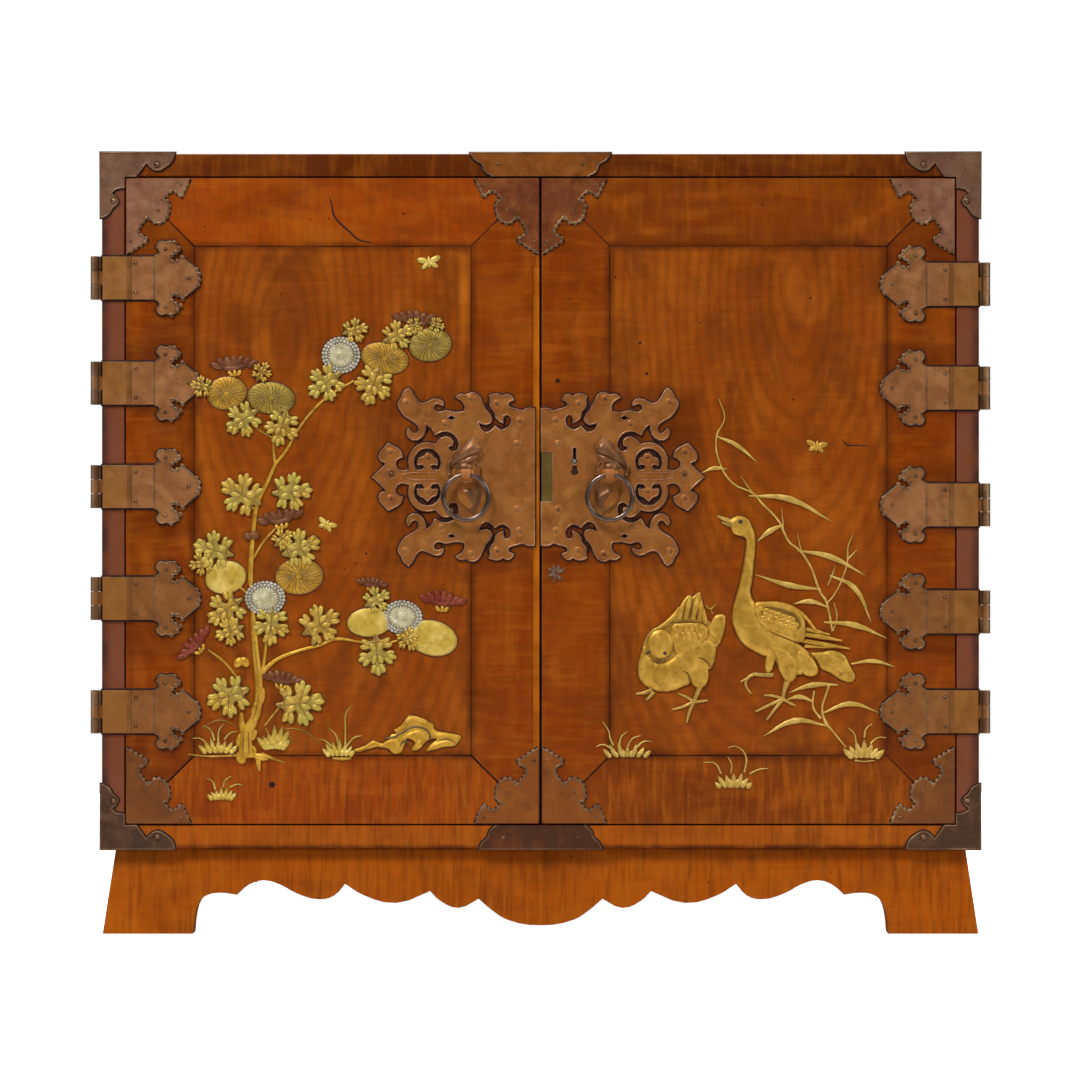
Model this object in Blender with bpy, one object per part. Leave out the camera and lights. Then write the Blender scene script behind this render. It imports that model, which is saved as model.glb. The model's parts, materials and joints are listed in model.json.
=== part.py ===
"""Two-door lacquer cabinet on a splayed bracket base.

A board case with one housed shelf carries two mitred frame-and-panel doors on ten strap hinges.
The doors have pierced lock plates with drop rings, a half-mortise lock and fretted corner plates,
and the case has wrap-round corner mounts and centre mounts.

Metres, +Z up, front towards -Y. The origin is on the floor under the middle of the object.
"""

import math

import bmesh
import bpy
from mathutils import Matrix, Vector

# Case boards
CASE_WIDTH = 0.900
CASE_HEIGHT = 0.712
CASE_DEPTH = 0.520
CASE_BOARD = 0.023
BACK_BOARD = 0.012
SHELF_BOARD = 0.016
SHELF_HOUSING = 0.007  # depth of the groove in each side that takes the shelf's end
SHELF_SETBACK = 0.055  # from the doors' inner face to the shelf's front edge
SHELF_RISE = 0.300  # from the case's floor to the shelf's underside
FIT = 0.0003  # clearance between pieces that bear on each other
LAP = 0.0001  # a shape joined to another is drawn this far inside its faces

# Bracket base
BASE_HEIGHT = 0.088
BASE_BOARD = 0.022
BASE_INSET = 0.0125  # the base's top edge stands in from the case by this much
BASE_SPLAY = 0.012  # each face leans out by this much over its height
FOOT_WIDTH = 0.093
SIDE_ARCH_RISE = 0.054

# Doors
DOOR_BOARD = 0.024
DOOR_GAP = 0.0015
MEETING_GAP = 0.002
RAIL_WIDTH = 0.070
PANEL_LIP = 0.008
PANEL_LIP_THICKNESS = 0.010

# Strap hinges
STRAP_PLATE = 0.002
STRAP_REACH = 0.1005  # from the case's side to the strap's tip
STRAP_START = 0.0008
STRAP_BODY = 0.044
STRAP_EARS = 0.076
WRAP_REACH = 0.0305  # the sheet is doubled from the knuckle to here
WRAP_PLATE = 0.0009
LEAF_REACH = 0.066  # from the pin to the tip of the leaf on the case's side
KNUCKLE_RADIUS = 0.0055
KNUCKLE_PLAY = 0.0004
PIN_RADIUS = 0.0024
PIN_PLAY = 0.0003
HINGE_CLEARANCE = 0.003  # from a strap's straight body to the tip of a corner plate
LEFT_HINGE_STATIONS = (0.027, 0.281, 0.532, 0.764, 1.0)  # shares of the height free between the corner plates
RIGHT_HINGE_STATIONS = (0.027, 0.251, 0.491, 0.753, 0.986)

# Corner and centre mounts
MOUNT_PLATE = 0.0015
DOOR_CORNER_WIDTH = 0.065
DOOR_CORNER_HEIGHT = 0.077
DOOR_CORNER_INSET = 0.001
CASE_CORNER_WIDTH = 0.075
CASE_CORNER_HEIGHT = 0.0655
CASE_CORNER_DEPTH = 0.062
UNDER_FLANGE = 0.009
TOP_MOUNT_WIDTH = 0.144
TOP_MOUNT_FOOT = 0.096
TOP_MOUNT_DEPTH = 0.034
BOTTOM_MOUNT_WIDTH = 0.126
BOTTOM_MOUNT_HEAD = 0.090

# Lock plates, bosses and rings
LOCK_PLATE = 0.0018
LOCK_PLATE_REACH = 0.167
LOCK_PLATE_HALF = 0.091
LOCK_PLATE_INSET = 0.005
LOCK_RISE = 0.0245  # lock plates' middle above the doors' middle
RING_RADIUS = 0.0228
RING_WIRE = 0.0028
RING_PLAY = 0.0009
RING_STAND = 0.0098  # ring's axis in front of the lock plate
RING_ALONG = 0.070  # ring's hanging point from the lock plate's straight edge
RING_RISE = 0.002  # ring's hanging point above the lock plate's middle
LUG_WALL = 0.0028
LUG_LENGTH = 0.009
BOSS_PLATE = 0.0028
BOSS_DOME_RADIUS = 0.0100
BOSS_DOME_HEIGHT = 0.0058
BOSS_HEIGHT = 0.074
BOSS_WIDTH = 0.033

# Lock
LOCK_LENGTH = 0.060
LOCK_DEPTH = 0.012
LOCK_HEIGHT = 0.058
SELVEDGE = 0.0015
SELVEDGE_HEIGHT = 0.051
SELVEDGE_LIP = 0.011
BOLT_LENGTH = 0.040
BOLT_HEIGHT = 0.010
BOLT_DEPTH = 0.007
BOLT_THROW = 0.008
POCKET_SPARE = 0.002
KEYHOLE_RADIUS = 0.0036
KEYHOLE_SLOT = 0.0046
KEYHOLE_HEIGHT = 0.018
KEYHOLE_ALONG = 0.034
KEYHOLE_RISE = 0.016

# Facets
ROUND_SEGMENTS = 12
RING_SEGMENTS = 28
WIRE_SEGMENTS = 8
OUTLINE_STEPS = 3
FRET_STEPS = 2

SMOOTH, SHARP = "AUTO", "VECTOR"
X, Y, Z = Vector((1, 0, 0)), Vector((0, 1, 0)), Vector((0, 0, 1))

# Places worked out from the sizes
FRONT_REACH = FIT + LOCK_PLATE + FIT + RING_STAND + RING_WIRE + RING_PLAY + LUG_WALL
CASE_FRONT = (FRONT_REACH - CASE_DEPTH) / 2
CASE_BACK = CASE_FRONT + CASE_DEPTH
CASE_FLOOR = BASE_HEIGHT + FIT
CASE_TOP = CASE_FLOOR + CASE_HEIGHT
HALF_WIDTH = CASE_WIDTH / 2
DOOR_WIDTH = HALF_WIDTH - CASE_BOARD - DOOR_GAP - MEETING_GAP / 2
DOOR_BOTTOM = CASE_FLOOR + CASE_BOARD + DOOR_GAP
DOOR_HEIGHT = CASE_HEIGHT - 2 * (CASE_BOARD + DOOR_GAP)
DOOR_BACK = CASE_FRONT + DOOR_BOARD
PLATE_SEAT = CASE_FRONT - FIT  # back face of every plate on the front
LOCK_Z = DOOR_BOTTOM + DOOR_HEIGHT / 2 + LOCK_RISE
PIN_X = HALF_WIDTH + FIT + KNUCKLE_RADIUS
PIN_Y = PLATE_SEAT - STRAP_PLATE / 2
HINGE_MARGIN = DOOR_CORNER_INSET + DOOR_CORNER_HEIGHT + HINGE_CLEARANCE + STRAP_BODY / 2
KNUCKLE_LENGTH = STRAP_BODY / 3
RING_Y = PLATE_SEAT - LOCK_PLATE - FIT - RING_STAND
BASE_HALF_TOP = HALF_WIDTH - BASE_INSET
BASE_FRONT_TOP = CASE_FRONT + BASE_INSET
BASE_BACK = CASE_BACK - BASE_INSET
LOCK_EDGE = MEETING_GAP / 2


def clear_scene():
    for obj in list(bpy.data.objects):
        bpy.data.objects.remove(obj)


def new_collection(name):
    collection = bpy.data.collections.new(name)
    bpy.context.scene.collection.children.link(collection)
    return collection


def finish(name, colour, roughness, metallic):
    """A Principled BSDF with one colour, roughness and metallic value."""
    made = bpy.data.materials.new(name)
    made.use_nodes = True
    shader = made.node_tree.nodes["Principled BSDF"]
    shader.inputs["Base Color"].default_value = (*colour, 1.0)
    shader.inputs["Roughness"].default_value = roughness
    shader.inputs["Metallic"].default_value = metallic
    return made


clear_scene()
PARTS = new_collection("lacquer_cabinet")
CASE_WOOD = finish("case_wood", (0.22, 0.065, 0.014), 0.35, 0.0)
DOOR_WOOD = finish("door_wood", (0.27, 0.07, 0.008), 0.32, 0.0)
BASE_WOOD = finish("base_wood", (0.25, 0.075, 0.012), 0.38, 0.0)
INNER_WOOD = finish("inner_wood", (0.10, 0.03, 0.01), 0.45, 0.0)
COPPER = finish("patinated_copper", (0.30, 0.13, 0.055), 0.42, 0.9)
RING_COPPER = finish("worn_ring_copper", (0.36, 0.19, 0.10), 0.30, 0.95)
LOCK_BRASS = finish("lock_brass", (0.22, 0.16, 0.04), 0.45, 0.9)


def add_object(name, mesh, material, matrix=None):
    mesh.name = name
    mesh.materials.clear()
    mesh.materials.append(material)
    obj = bpy.data.objects.new(name, mesh)
    PARTS.objects.link(obj)
    obj.matrix_world = matrix or Matrix.Identity(4)
    return obj


def mesh_from(build):
    """A mesh filled by a function that takes an empty bmesh."""
    shape = bmesh.new()
    build(shape)
    mesh = bpy.data.meshes.new("shape")
    shape.to_mesh(mesh)
    shape.free()
    return mesh


def evaluated_mesh(obj):
    """The object's mesh with its modifiers applied and the loose caps of a curve welded on."""
    bpy.context.view_layer.update()
    evaluated = obj.evaluated_get(bpy.context.evaluated_depsgraph_get())
    mesh = bpy.data.meshes.new_from_object(evaluated)
    shape = bmesh.new()
    shape.from_mesh(mesh)
    bmesh.ops.remove_doubles(shape, verts=shape.verts, dist=1e-6)
    shape.to_mesh(mesh)
    shape.free()
    return mesh


def boolean(target, other, operation):
    """Joins, cuts or intersects target with other, and removes other."""
    modifier = target.modifiers.new("boolean", "BOOLEAN")
    modifier.operation = operation
    modifier.object = other
    material = target.data.materials[0]
    mesh = evaluated_mesh(target)
    target.modifiers.clear()
    mesh.materials.clear()
    mesh.materials.append(material)
    target.data = mesh
    bpy.data.objects.remove(other)
    return target


def join(target, *others):
    for other in others:
        boolean(target, other, "UNION")
    return target


def cut(target, *others):
    for other in others:
        boolean(target, other, "DIFFERENCE")
    return target


def box(name, low, high, material):
    """A block between two corners, with its origin at its middle."""
    low, high = Vector(low), Vector(high)
    size = high - low
    mesh = mesh_from(lambda shape: bmesh.ops.create_cube(shape, size=1.0))
    mesh.transform(Matrix.Diagonal((*size, 1.0)))
    return add_object(name, mesh, material, Matrix.Translation((low + high) / 2))


def rod(name, centre, axis, radius, length, material):
    """A cylinder centred on a point, along an axis."""

    def build(shape):
        bmesh.ops.create_cone(
            shape, cap_ends=True, segments=ROUND_SEGMENTS, radius1=radius, radius2=radius, depth=length
        )

    turn = axis.to_track_quat("Z", "Y").to_matrix().to_4x4()
    return add_object(name, mesh_from(build), material, Matrix.Translation(centre) @ turn)


def plate(name, loops, thickness, material, origin, across, up, steps=OUTLINE_STEPS):
    """A flat plate cut to closed outlines of (across, up, kind) points, inner outlines being holes.

    Its back lies on the plane through origin, and it grows along the cross product of across and up.
    """
    curve = bpy.data.curves.new(name, "CURVE")
    curve.dimensions = "2D"
    curve.fill_mode = "BOTH"
    curve.extrude = thickness / 2
    curve.resolution_u = steps
    for loop in loops:
        spline = curve.splines.new("BEZIER")
        spline.bezier_points.add(len(loop) - 1)
        spline.use_cyclic_u = True
        for point, (u, v, kind) in zip(spline.bezier_points, loop):
            point.co = (u, v, 0.0)
            point.handle_left_type = kind
            point.handle_right_type = kind
    drawn = bpy.data.objects.new(name, curve)
    PARTS.objects.link(drawn)
    mesh = evaluated_mesh(drawn)
    bpy.data.objects.remove(drawn)
    out = across.cross(up)
    matrix = Matrix((across, up, out)).transposed().to_4x4()
    matrix.translation = Vector(origin) + out * (thickness / 2)
    return add_object(name, mesh, material, matrix)


def scaled(points, width, height):
    """Points given in hundredths of a width and a height."""
    return [(u * width / 100, v * height / 100, kind) for u, v, kind in points]


def flipped(loop, across=-1, up=1):
    """The outline reflected across its upright axis, its level axis, or both."""
    return [(u * across, v * up, kind) for u, v, kind in loop]


def with_reflection(half):
    """A closed outline from its upper half, reflected below its level axis; end points on the axis are kept once."""
    lower = [(u, -v, kind) for u, v, kind in reversed(half) if abs(v) > 1e-9]
    return half + lower


def polygon(*points):
    return [(u, v, SHARP) for u, v in points]


# Case


def make_case():
    inner_half = HALF_WIDTH - CASE_BOARD
    side_low = CASE_FLOOR + CASE_BOARD + FIT
    side_high = CASE_TOP - CASE_BOARD - FIT
    box("case_bottom", (-HALF_WIDTH, CASE_FRONT, CASE_FLOOR), (HALF_WIDTH, CASE_BACK, CASE_FLOOR + CASE_BOARD), CASE_WOOD)
    box("case_top", (-HALF_WIDTH, CASE_FRONT, CASE_TOP - CASE_BOARD), (HALF_WIDTH, CASE_BACK, CASE_TOP), CASE_WOOD)
    left = box("case_left_side", (-HALF_WIDTH, CASE_FRONT, side_low), (-inner_half, CASE_BACK, side_high), CASE_WOOD)
    right = box("case_right_side", (inner_half, CASE_FRONT, side_low), (HALF_WIDTH, CASE_BACK, side_high), CASE_WOOD)

    back_front = CASE_BACK - BACK_BOARD
    box(
        "case_back",
        (-inner_half + FIT, back_front, side_low),
        (inner_half - FIT, CASE_BACK, side_high),
        INNER_WOOD,
    )

    shelf_low = CASE_FLOOR + CASE_BOARD + SHELF_RISE
    shelf_front = DOOR_BACK + SHELF_SETBACK
    shelf_half = inner_half + SHELF_HOUSING - FIT
    box(
        "shelf",
        (-shelf_half, shelf_front, shelf_low),
        (shelf_half, back_front - FIT, shelf_low + SHELF_BOARD),
        INNER_WOOD,
    )
    for side in (left, right):
        groove = box(
            "groove",
            (-inner_half - SHELF_HOUSING, shelf_front - FIT, shelf_low - FIT),
            (inner_half + SHELF_HOUSING, back_front, shelf_low + SHELF_BOARD + FIT),
            INNER_WOOD,
        )
        cut(side, groove)


# Base

# Half of the front apron's lower edge, from its middle to the foot: metres from the middle, metres off the floor.
APRON_EDGE = (
    (0.0000, 0.0086, SMOOTH),
    (0.0340, 0.0142, SMOOTH),
    (0.0480, 0.0225, SMOOTH),
    (0.0636, 0.0354, SHARP),
    (0.0840, 0.0262, SMOOTH),
    (0.1025, 0.0330, SMOOTH),
    (0.1134, 0.0431, SHARP),
    (0.1480, 0.0312, SMOOTH),
    (0.1820, 0.0392, SMOOTH),
    (0.2006, 0.0504, SHARP),
    (0.2120, 0.0385, SMOOTH),
    (0.2270, 0.0349, SMOOTH),
    (0.2500, 0.0408, SMOOTH),
    (0.2680, 0.0500, SMOOTH),
    (0.2840, 0.0540, SMOOTH),
    (0.2990, 0.0500, SMOOTH),
    (0.3114, 0.0395, SHARP),
)

# The bracket that runs from the apron down to a foot: metres from the foot's inner edge, metres off the floor.
FOOT_EDGE = (
    (0.0446, 0.0395, SHARP),
    (0.0280, 0.0415, SMOOTH),
    (0.0140, 0.0393, SMOOTH),
    (0.0060, 0.0325, SMOOTH),
    (0.0015, 0.0180, SMOOTH),
    (0.0000, 0.0000, SHARP),
)


def front_apron_outline():
    """The front board as drawn flat, from its left end at 0 to its right end, before it is splayed."""
    length = 2 * BASE_HALF_TOP
    middle = length / 2
    foot_inner = middle + BASE_SPLAY - FOOT_WIDTH
    stretch = (foot_inner - FOOT_EDGE[0][0]) / APRON_EDGE[-1][0]
    right_half = [(middle + d * stretch, h, kind) for d, h, kind in APRON_EDGE[:-1]]
    right_half += [(middle + foot_inner - d, h, kind) for d, h, kind in FOOT_EDGE]
    left_half = [(length - u, h, kind) for u, h, kind in reversed(right_half[1:])]
    ends = polygon((length, 0.0), (length, BASE_HEIGHT), (0.0, BASE_HEIGHT), (0.0, 0.0))
    return left_half + right_half + ends


def plain_board_outline(length, near_foot, far_foot):
    """A board with a plain arch between two bracket feet, from its near end at 0 to its far end."""
    near = [(near_foot + d, h, kind) for d, h, kind in reversed(FOOT_EDGE)]
    far = [(length - far_foot - d, h, kind) for d, h, kind in FOOT_EDGE]
    rise = SIDE_ARCH_RISE - FOOT_EDGE[0][1]
    arch = polygon((near[-1][0] + rise, SIDE_ARCH_RISE), (far[0][0] - rise, SIDE_ARCH_RISE))
    ends = polygon((length, 0.0), (length, BASE_HEIGHT), (0.0, BASE_HEIGHT), (0.0, 0.0))
    return near + arch + far + ends


def splay(board, length, mitred_ends):
    """Leans a flat board out towards its foot and cuts its mitred ends, given as near and far, to meet at the corner.

    The board's own axes are along, up and out, with its outer face at half its thickness.
    """
    mitre_gap = FIT / math.sqrt(2)
    for vertex in board.data.vertices:
        along, up, out = vertex.co
        lean = BASE_SPLAY * (1 - up / BASE_HEIGHT)
        shift = lean - mitre_gap if out > 0 else lean - mitre_gap - BASE_BOARD
        if mitred_ends[0] and abs(along) < 1e-6:
            vertex.co.x -= shift
        if mitred_ends[1] and abs(along - length) < 1e-6:
            vertex.co.x += shift
        vertex.co.z += lean
    return board


def make_base():
    front_length = 2 * BASE_HALF_TOP
    front_origin = (-BASE_HALF_TOP, BASE_FRONT_TOP + BASE_BOARD, 0.0)
    front = plate("base_front_apron", [front_apron_outline()], BASE_BOARD, BASE_WOOD, front_origin, X, Z)
    splay(front, front_length, (True, True))

    depth = BASE_BACK - BASE_FRONT_TOP
    inner = BASE_HALF_TOP - BASE_BOARD
    outline = plain_board_outline(depth, FOOT_WIDTH - BASE_SPLAY, FOOT_WIDTH)
    right_origin = (inner, BASE_FRONT_TOP, 0.0)
    right = plate("base_sides_and_back", [outline], BASE_BOARD, BASE_WOOD, right_origin, Y, Z)
    splay(right, depth, (True, False))
    left_outline = [(depth - u, h, kind) for u, h, kind in outline]
    left_origin = (-inner, BASE_BACK, 0.0)
    left = plate("base_left_board", [left_outline], BASE_BOARD, BASE_WOOD, left_origin, -Y, Z)
    splay(left, depth, (False, True))

    back_reach = BASE_HALF_TOP - BASE_BOARD / 4  # let into the side boards, whose outer faces it stays behind
    back_outline = plain_board_outline(2 * back_reach, FOOT_WIDTH, FOOT_WIDTH)
    back_origin = (back_reach, BASE_BACK - BASE_BOARD, 0.0)
    back = plate("base_back_board", [back_outline], BASE_BOARD, BASE_WOOD, back_origin, -X, Z)
    join(right, left, back)


# Doors


def door_edges(side):
    """The door's hinge edge and meeting edge on X. side is -1 on the left and 1 on the right."""
    return side * (HALF_WIDTH - CASE_BOARD - DOOR_GAP), side * MEETING_GAP / 2


def door_board(name, corners):
    """One frame member, a mitred board drawn by its corners on X and Z."""
    return plate(name, [polygon(*corners)], DOOR_BOARD, DOOR_WOOD, (0.0, DOOR_BACK, 0.0), X, Z)


def lip_box(low_x, high_x, low_z, high_z, grow):
    """The space that the panel's back lip takes, grown by a clearance."""
    return box(
        "panel_lip",
        (low_x - PANEL_LIP - grow, DOOR_BACK - PANEL_LIP_THICKNESS - grow, low_z - PANEL_LIP - grow),
        (high_x + PANEL_LIP + grow, DOOR_BACK + 2 * grow, high_z + PANEL_LIP + grow),
        DOOR_WOOD,
    )


def make_door_leaf(side, word):
    """The five boards of one door: four mitred frame members round a lipped panel."""
    left, right = sorted(door_edges(side))
    low, high = DOOR_BOTTOM, DOOR_BOTTOM + DOOR_HEIGHT
    gap = FIT / math.sqrt(2)
    in_left, in_right = left + RAIL_WIDTH, right - RAIL_WIDTH
    in_low, in_high = low + RAIL_WIDTH, high - RAIL_WIDTH
    stile_words = ("hinge", "meeting") if side < 0 else ("meeting", "hinge")
    boards = [
        door_board(
            f"{word}_door_top_rail",
            ((left + gap, high), (in_left + gap, in_high), (in_right - gap, in_high), (right - gap, high)),
        ),
        door_board(
            f"{word}_door_bottom_rail",
            ((left + gap, low), (right - gap, low), (in_right - gap, in_low), (in_left + gap, in_low)),
        ),
        door_board(
            f"{word}_door_{stile_words[0]}_stile",
            ((left, low + gap), (in_left, in_low + gap), (in_left, in_high - gap), (left, high - gap)),
        ),
        door_board(
            f"{word}_door_{stile_words[1]}_stile",
            ((right, low + gap), (right, high - gap), (in_right, in_high - gap), (in_right, in_low + gap)),
        ),
    ]
    for board in boards:
        cut(board, lip_box(in_left, in_right, in_low, in_high, 0.0))
    panel = box(
        f"{word}_door_panel",
        (in_left + FIT, CASE_FRONT, in_low + FIT),
        (in_right - FIT, DOOR_BACK, in_high - FIT),
        DOOR_WOOD,
    )
    lip = lip_box(in_left, in_right, in_low, in_high, -FIT)
    join(panel, lip)
    return {board.name: board for board in [*boards, panel]}


# Hinges

# Upper half of a strap beyond its straight body: hundredths of the reach, hundredths of the half height over the ears.
STRAP_HEAD = (
    (54.0, 57.9, SHARP),
    (59.6, 69.0, SMOOTH),
    (55.8, 82.5, SHARP),
    (57.2, 92.5, SMOOTH),
    (61.4, 99.0, SMOOTH),
    (65.8, 94.5, SHARP),
    (71.0, 99.5, SMOOTH),
    (77.2, 88.0, SMOOTH),
    (80.8, 74.0, SHARP),
    (71.8, 61.0, SMOOTH),
    (72.4, 44.0, SMOOTH),
    (77.4, 45.5, SMOOTH),
    (82.6, 56.0, SHARP),
    (97.0, 23.5, SHARP),
    (99.4, 11.0, SMOOTH),
    (100.0, 0.0, SHARP),
)

# Upper half of the plainer leaf on the case's side, beyond its straight body, in the same hundredths.
LEAF_HEAD = (
    (70.0, 57.9, SHARP),
    (80.0, 62.0, SMOOTH),
    (87.0, 44.0, SMOOTH),
    (93.0, 24.0, SHARP),
    (100.0, 0.0, SHARP),
)


def plate_with_head(start, reach, head):
    """A symmetric outline: a straight body from start, then a shaped head out to reach."""
    half = scaled(head, reach, STRAP_EARS / 2)
    body = STRAP_BODY / 2
    upper = [(start, body, SHARP), (half[0][0], body, SHARP), *half[1:]]
    return with_reflection(upper)


def knuckle(name, z, side, length):
    return rod(name, (side * PIN_X, PIN_Y, z), Z, KNUCKLE_RADIUS, length, COPPER)


def make_strap(name, side, z):
    """The door's half of a hinge: a shaped strap with the middle knuckle, bored for the pin."""
    outline = plate_with_head(STRAP_START, STRAP_REACH, STRAP_HEAD)
    if side > 0:
        outline = flipped(outline)
    seat = (side * HALF_WIDTH, PLATE_SEAT, z)
    strap = plate(name, [outline], STRAP_PLATE, COPPER, seat, X, Z, FRET_STEPS)
    middle = KNUCKLE_LENGTH / 2 - KNUCKLE_PLAY
    ends = sorted((side * PIN_X, side * (HALF_WIDTH - 2 * STRAP_START)))
    neck = box(
        "neck",
        (ends[0], PLATE_SEAT - STRAP_PLATE + LAP, z - middle + LAP),
        (ends[1], PLATE_SEAT - LAP, z + middle - LAP),
        COPPER,
    )
    bore = rod("bore", (side * PIN_X, PIN_Y, z), Z, PIN_RADIUS + PIN_PLAY, STRAP_BODY, COPPER)
    wrap_ends = sorted((side * (HALF_WIDTH - 2 * STRAP_START), side * (HALF_WIDTH - WRAP_REACH)))
    wrap = box(
        "wrap",
        (wrap_ends[0], PLATE_SEAT - STRAP_PLATE - WRAP_PLATE, z - STRAP_BODY / 2 + LAP),
        (wrap_ends[1], PLATE_SEAT - STRAP_PLATE + WRAP_PLATE, z + STRAP_BODY / 2 - LAP),
        COPPER,
    )
    join(strap, wrap, neck, knuckle("middle_knuckle", z, side, 2 * middle))
    return cut(strap, bore)


def make_leaf(name, side, z):
    """The case's half of a hinge: a leaf on the side board with the outer knuckles and the pin fixed in them."""
    start = KNUCKLE_RADIUS + 2 * KNUCKLE_PLAY
    outline = plate_with_head(start, LEAF_REACH, LEAF_HEAD)
    if side < 0:
        outline = flipped(outline)
    seat = (side * (HALF_WIDTH + FIT), PIN_Y, z)
    leaf = plate(name, [outline], STRAP_PLATE, COPPER, seat, side * Y, Z, FRET_STEPS)
    levels = sorted((side * (HALF_WIDTH + FIT + LAP), side * (HALF_WIDTH + FIT + STRAP_PLATE - LAP)))
    for end in (-1, 1):
        centre = z + end * KNUCKLE_LENGTH
        half = KNUCKLE_LENGTH / 2 - LAP
        neck = box(
            "neck",
            (levels[0], PIN_Y, centre - half),
            (levels[1], PIN_Y + start + STRAP_PLATE, centre + half),
            COPPER,
        )
        join(leaf, neck, knuckle("outer_knuckle", centre, side, KNUCKLE_LENGTH))
    pin = rod("pin", (side * PIN_X, PIN_Y, z), Z, PIN_RADIUS, STRAP_BODY - KNUCKLE_LENGTH, COPPER)
    return join(leaf, pin)


def make_hinges(side, word, stations):
    straps = []
    for number, share in enumerate(stations, start=1):
        z = DOOR_BOTTOM + HINGE_MARGIN + share * (DOOR_HEIGHT - 2 * HINGE_MARGIN)
        straps.append(make_strap(f"{word}_hinge_{number}_strap", side, z))
        make_leaf(f"{word}_hinge_{number}_leaf", side, z)
    return straps


# Corner and centre mounts

# A corner plate's fretted edge, from the tip of its upright leg to the tip of its level leg: hundredths of each leg.
CORNER_EDGE = (
    (0.0, 100.0, SHARP),
    (32.6, 82.8, SHARP),
    (29.0, 78.0, SMOOTH),
    (19.5, 74.0, SMOOTH),
    (19.5, 67.0, SMOOTH),
    (26.0, 58.0, SMOOTH),
    (34.6, 49.6, SHARP),
    (45.0, 59.0, SMOOTH),
    (61.0, 54.5, SMOOTH),
    (67.0, 39.5, SMOOTH),
    (64.5, 30.0, SMOOTH),
    (56.7, 28.9, SHARP),
    (64.5, 20.5, SMOOTH),
    (73.0, 16.0, SMOOTH),
    (86.6, 24.5, SHARP),
    (100.0, 0.0, SHARP),
)


def corner_outline(width, height, across, up):
    """A corner plate's outline with its square corner at 0, reaching across and up by the signs given."""
    loop = [(0.0, 0.0, SHARP), *scaled(CORNER_EDGE, width, height)]
    return flipped(loop, across, up)


def make_door_corners(side, word):
    plates = []
    hinge_edge, meeting_edge = door_edges(side)
    low, high = DOOR_BOTTOM + DOOR_CORNER_INSET, DOOR_BOTTOM + DOOR_HEIGHT - DOOR_CORNER_INSET
    inward = DOOR_CORNER_INSET * side
    for edge_word, x, across in (
        ("hinge", hinge_edge - inward, -side),
        ("meeting", meeting_edge + inward, side),
    ):
        for level_word, z, up in (("top", high, -1), ("bottom", low, 1)):
            outline = corner_outline(DOOR_CORNER_WIDTH, DOOR_CORNER_HEIGHT, across, up)
            name = f"{word}_door_{level_word}_{edge_word}_corner"
            plates.append(plate(name, [outline], MOUNT_PLATE, COPPER, (x, PLATE_SEAT, z), X, Z, FRET_STEPS))
    return plates


def case_corner_front():
    """The front of a case corner mount: an L on the board edges, from the case's corner along X and down."""
    width, height, board = CASE_CORNER_WIDTH, CASE_CORNER_HEIGHT, CASE_BOARD
    shoulder = FIT + MOUNT_PLATE / 2
    return [
        (-shoulder, -shoulder, SHARP),
        (width, -shoulder, SHARP),
        (width * 0.960, board * 0.32, SMOOTH),
        (width * 0.870, board * 0.58, SMOOTH),
        (width * 0.750, board * 0.74, SMOOTH),
        (width * 0.645, board * 0.52, SMOOTH),
        (width * 0.610, board * 0.38, SHARP),
        (width * 0.515, board * 0.80, SMOOTH),
        (width * 0.470, board, SHARP),
        (board, board, SHARP),
        (board, height * 0.530, SHARP),
        (board * 0.62, height * 0.550, SMOOTH),
        (board * 0.42, height * 0.625, SHARP),
        (board * 0.74, height * 0.750, SMOOTH),
        (board * 0.48, height * 0.840, SMOOTH),
        (board * 0.30, height * 0.945, SMOOTH),
        (-shoulder, height, SHARP),
    ]


def make_case_corner(side, level, word):
    """A mount wrapped round a front corner of the case. level is 1 at the top and -1 at the bottom."""
    x, z = side * HALF_WIDTH, CASE_TOP if level > 0 else CASE_FLOOR
    front_loop = flipped(case_corner_front(), -side, -level)
    mount = plate(word, [front_loop], MOUNT_PLATE, COPPER, (x, PLATE_SEAT, z), X, Z, FRET_STEPS)

    shoulder = FIT + MOUNT_PLATE / 3
    side_loop = corner_outline(CASE_CORNER_DEPTH, CASE_CORNER_HEIGHT - MOUNT_PLATE, side, -level)
    side_seat = (side * (HALF_WIDTH + FIT), PLATE_SEAT - MOUNT_PLATE / 2, z + level * shoulder)
    flank = plate("flank", [side_loop], MOUNT_PLATE, COPPER, side_seat, side * Y, Z, FRET_STEPS)

    flat_depth = CASE_CORNER_DEPTH - MOUNT_PLATE if level > 0 else UNDER_FLANGE
    flat_width = CASE_CORNER_WIDTH - MOUNT_PLATE
    if level > 0:
        flat_loop = corner_outline(flat_width, flat_depth, -side, 1)
    else:
        flat_loop = polygon((0, 0), (-side * flat_width, 0), (-side * flat_width, -flat_depth), (0, -flat_depth))
    flat_seat = (side * (HALF_WIDTH + shoulder), PLATE_SEAT - MOUNT_PLATE / 3, z + level * FIT)
    flat = plate("flat", [flat_loop], MOUNT_PLATE, COPPER, flat_seat, X, level * Y, FRET_STEPS)
    return join(mount, flank, flat)


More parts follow.
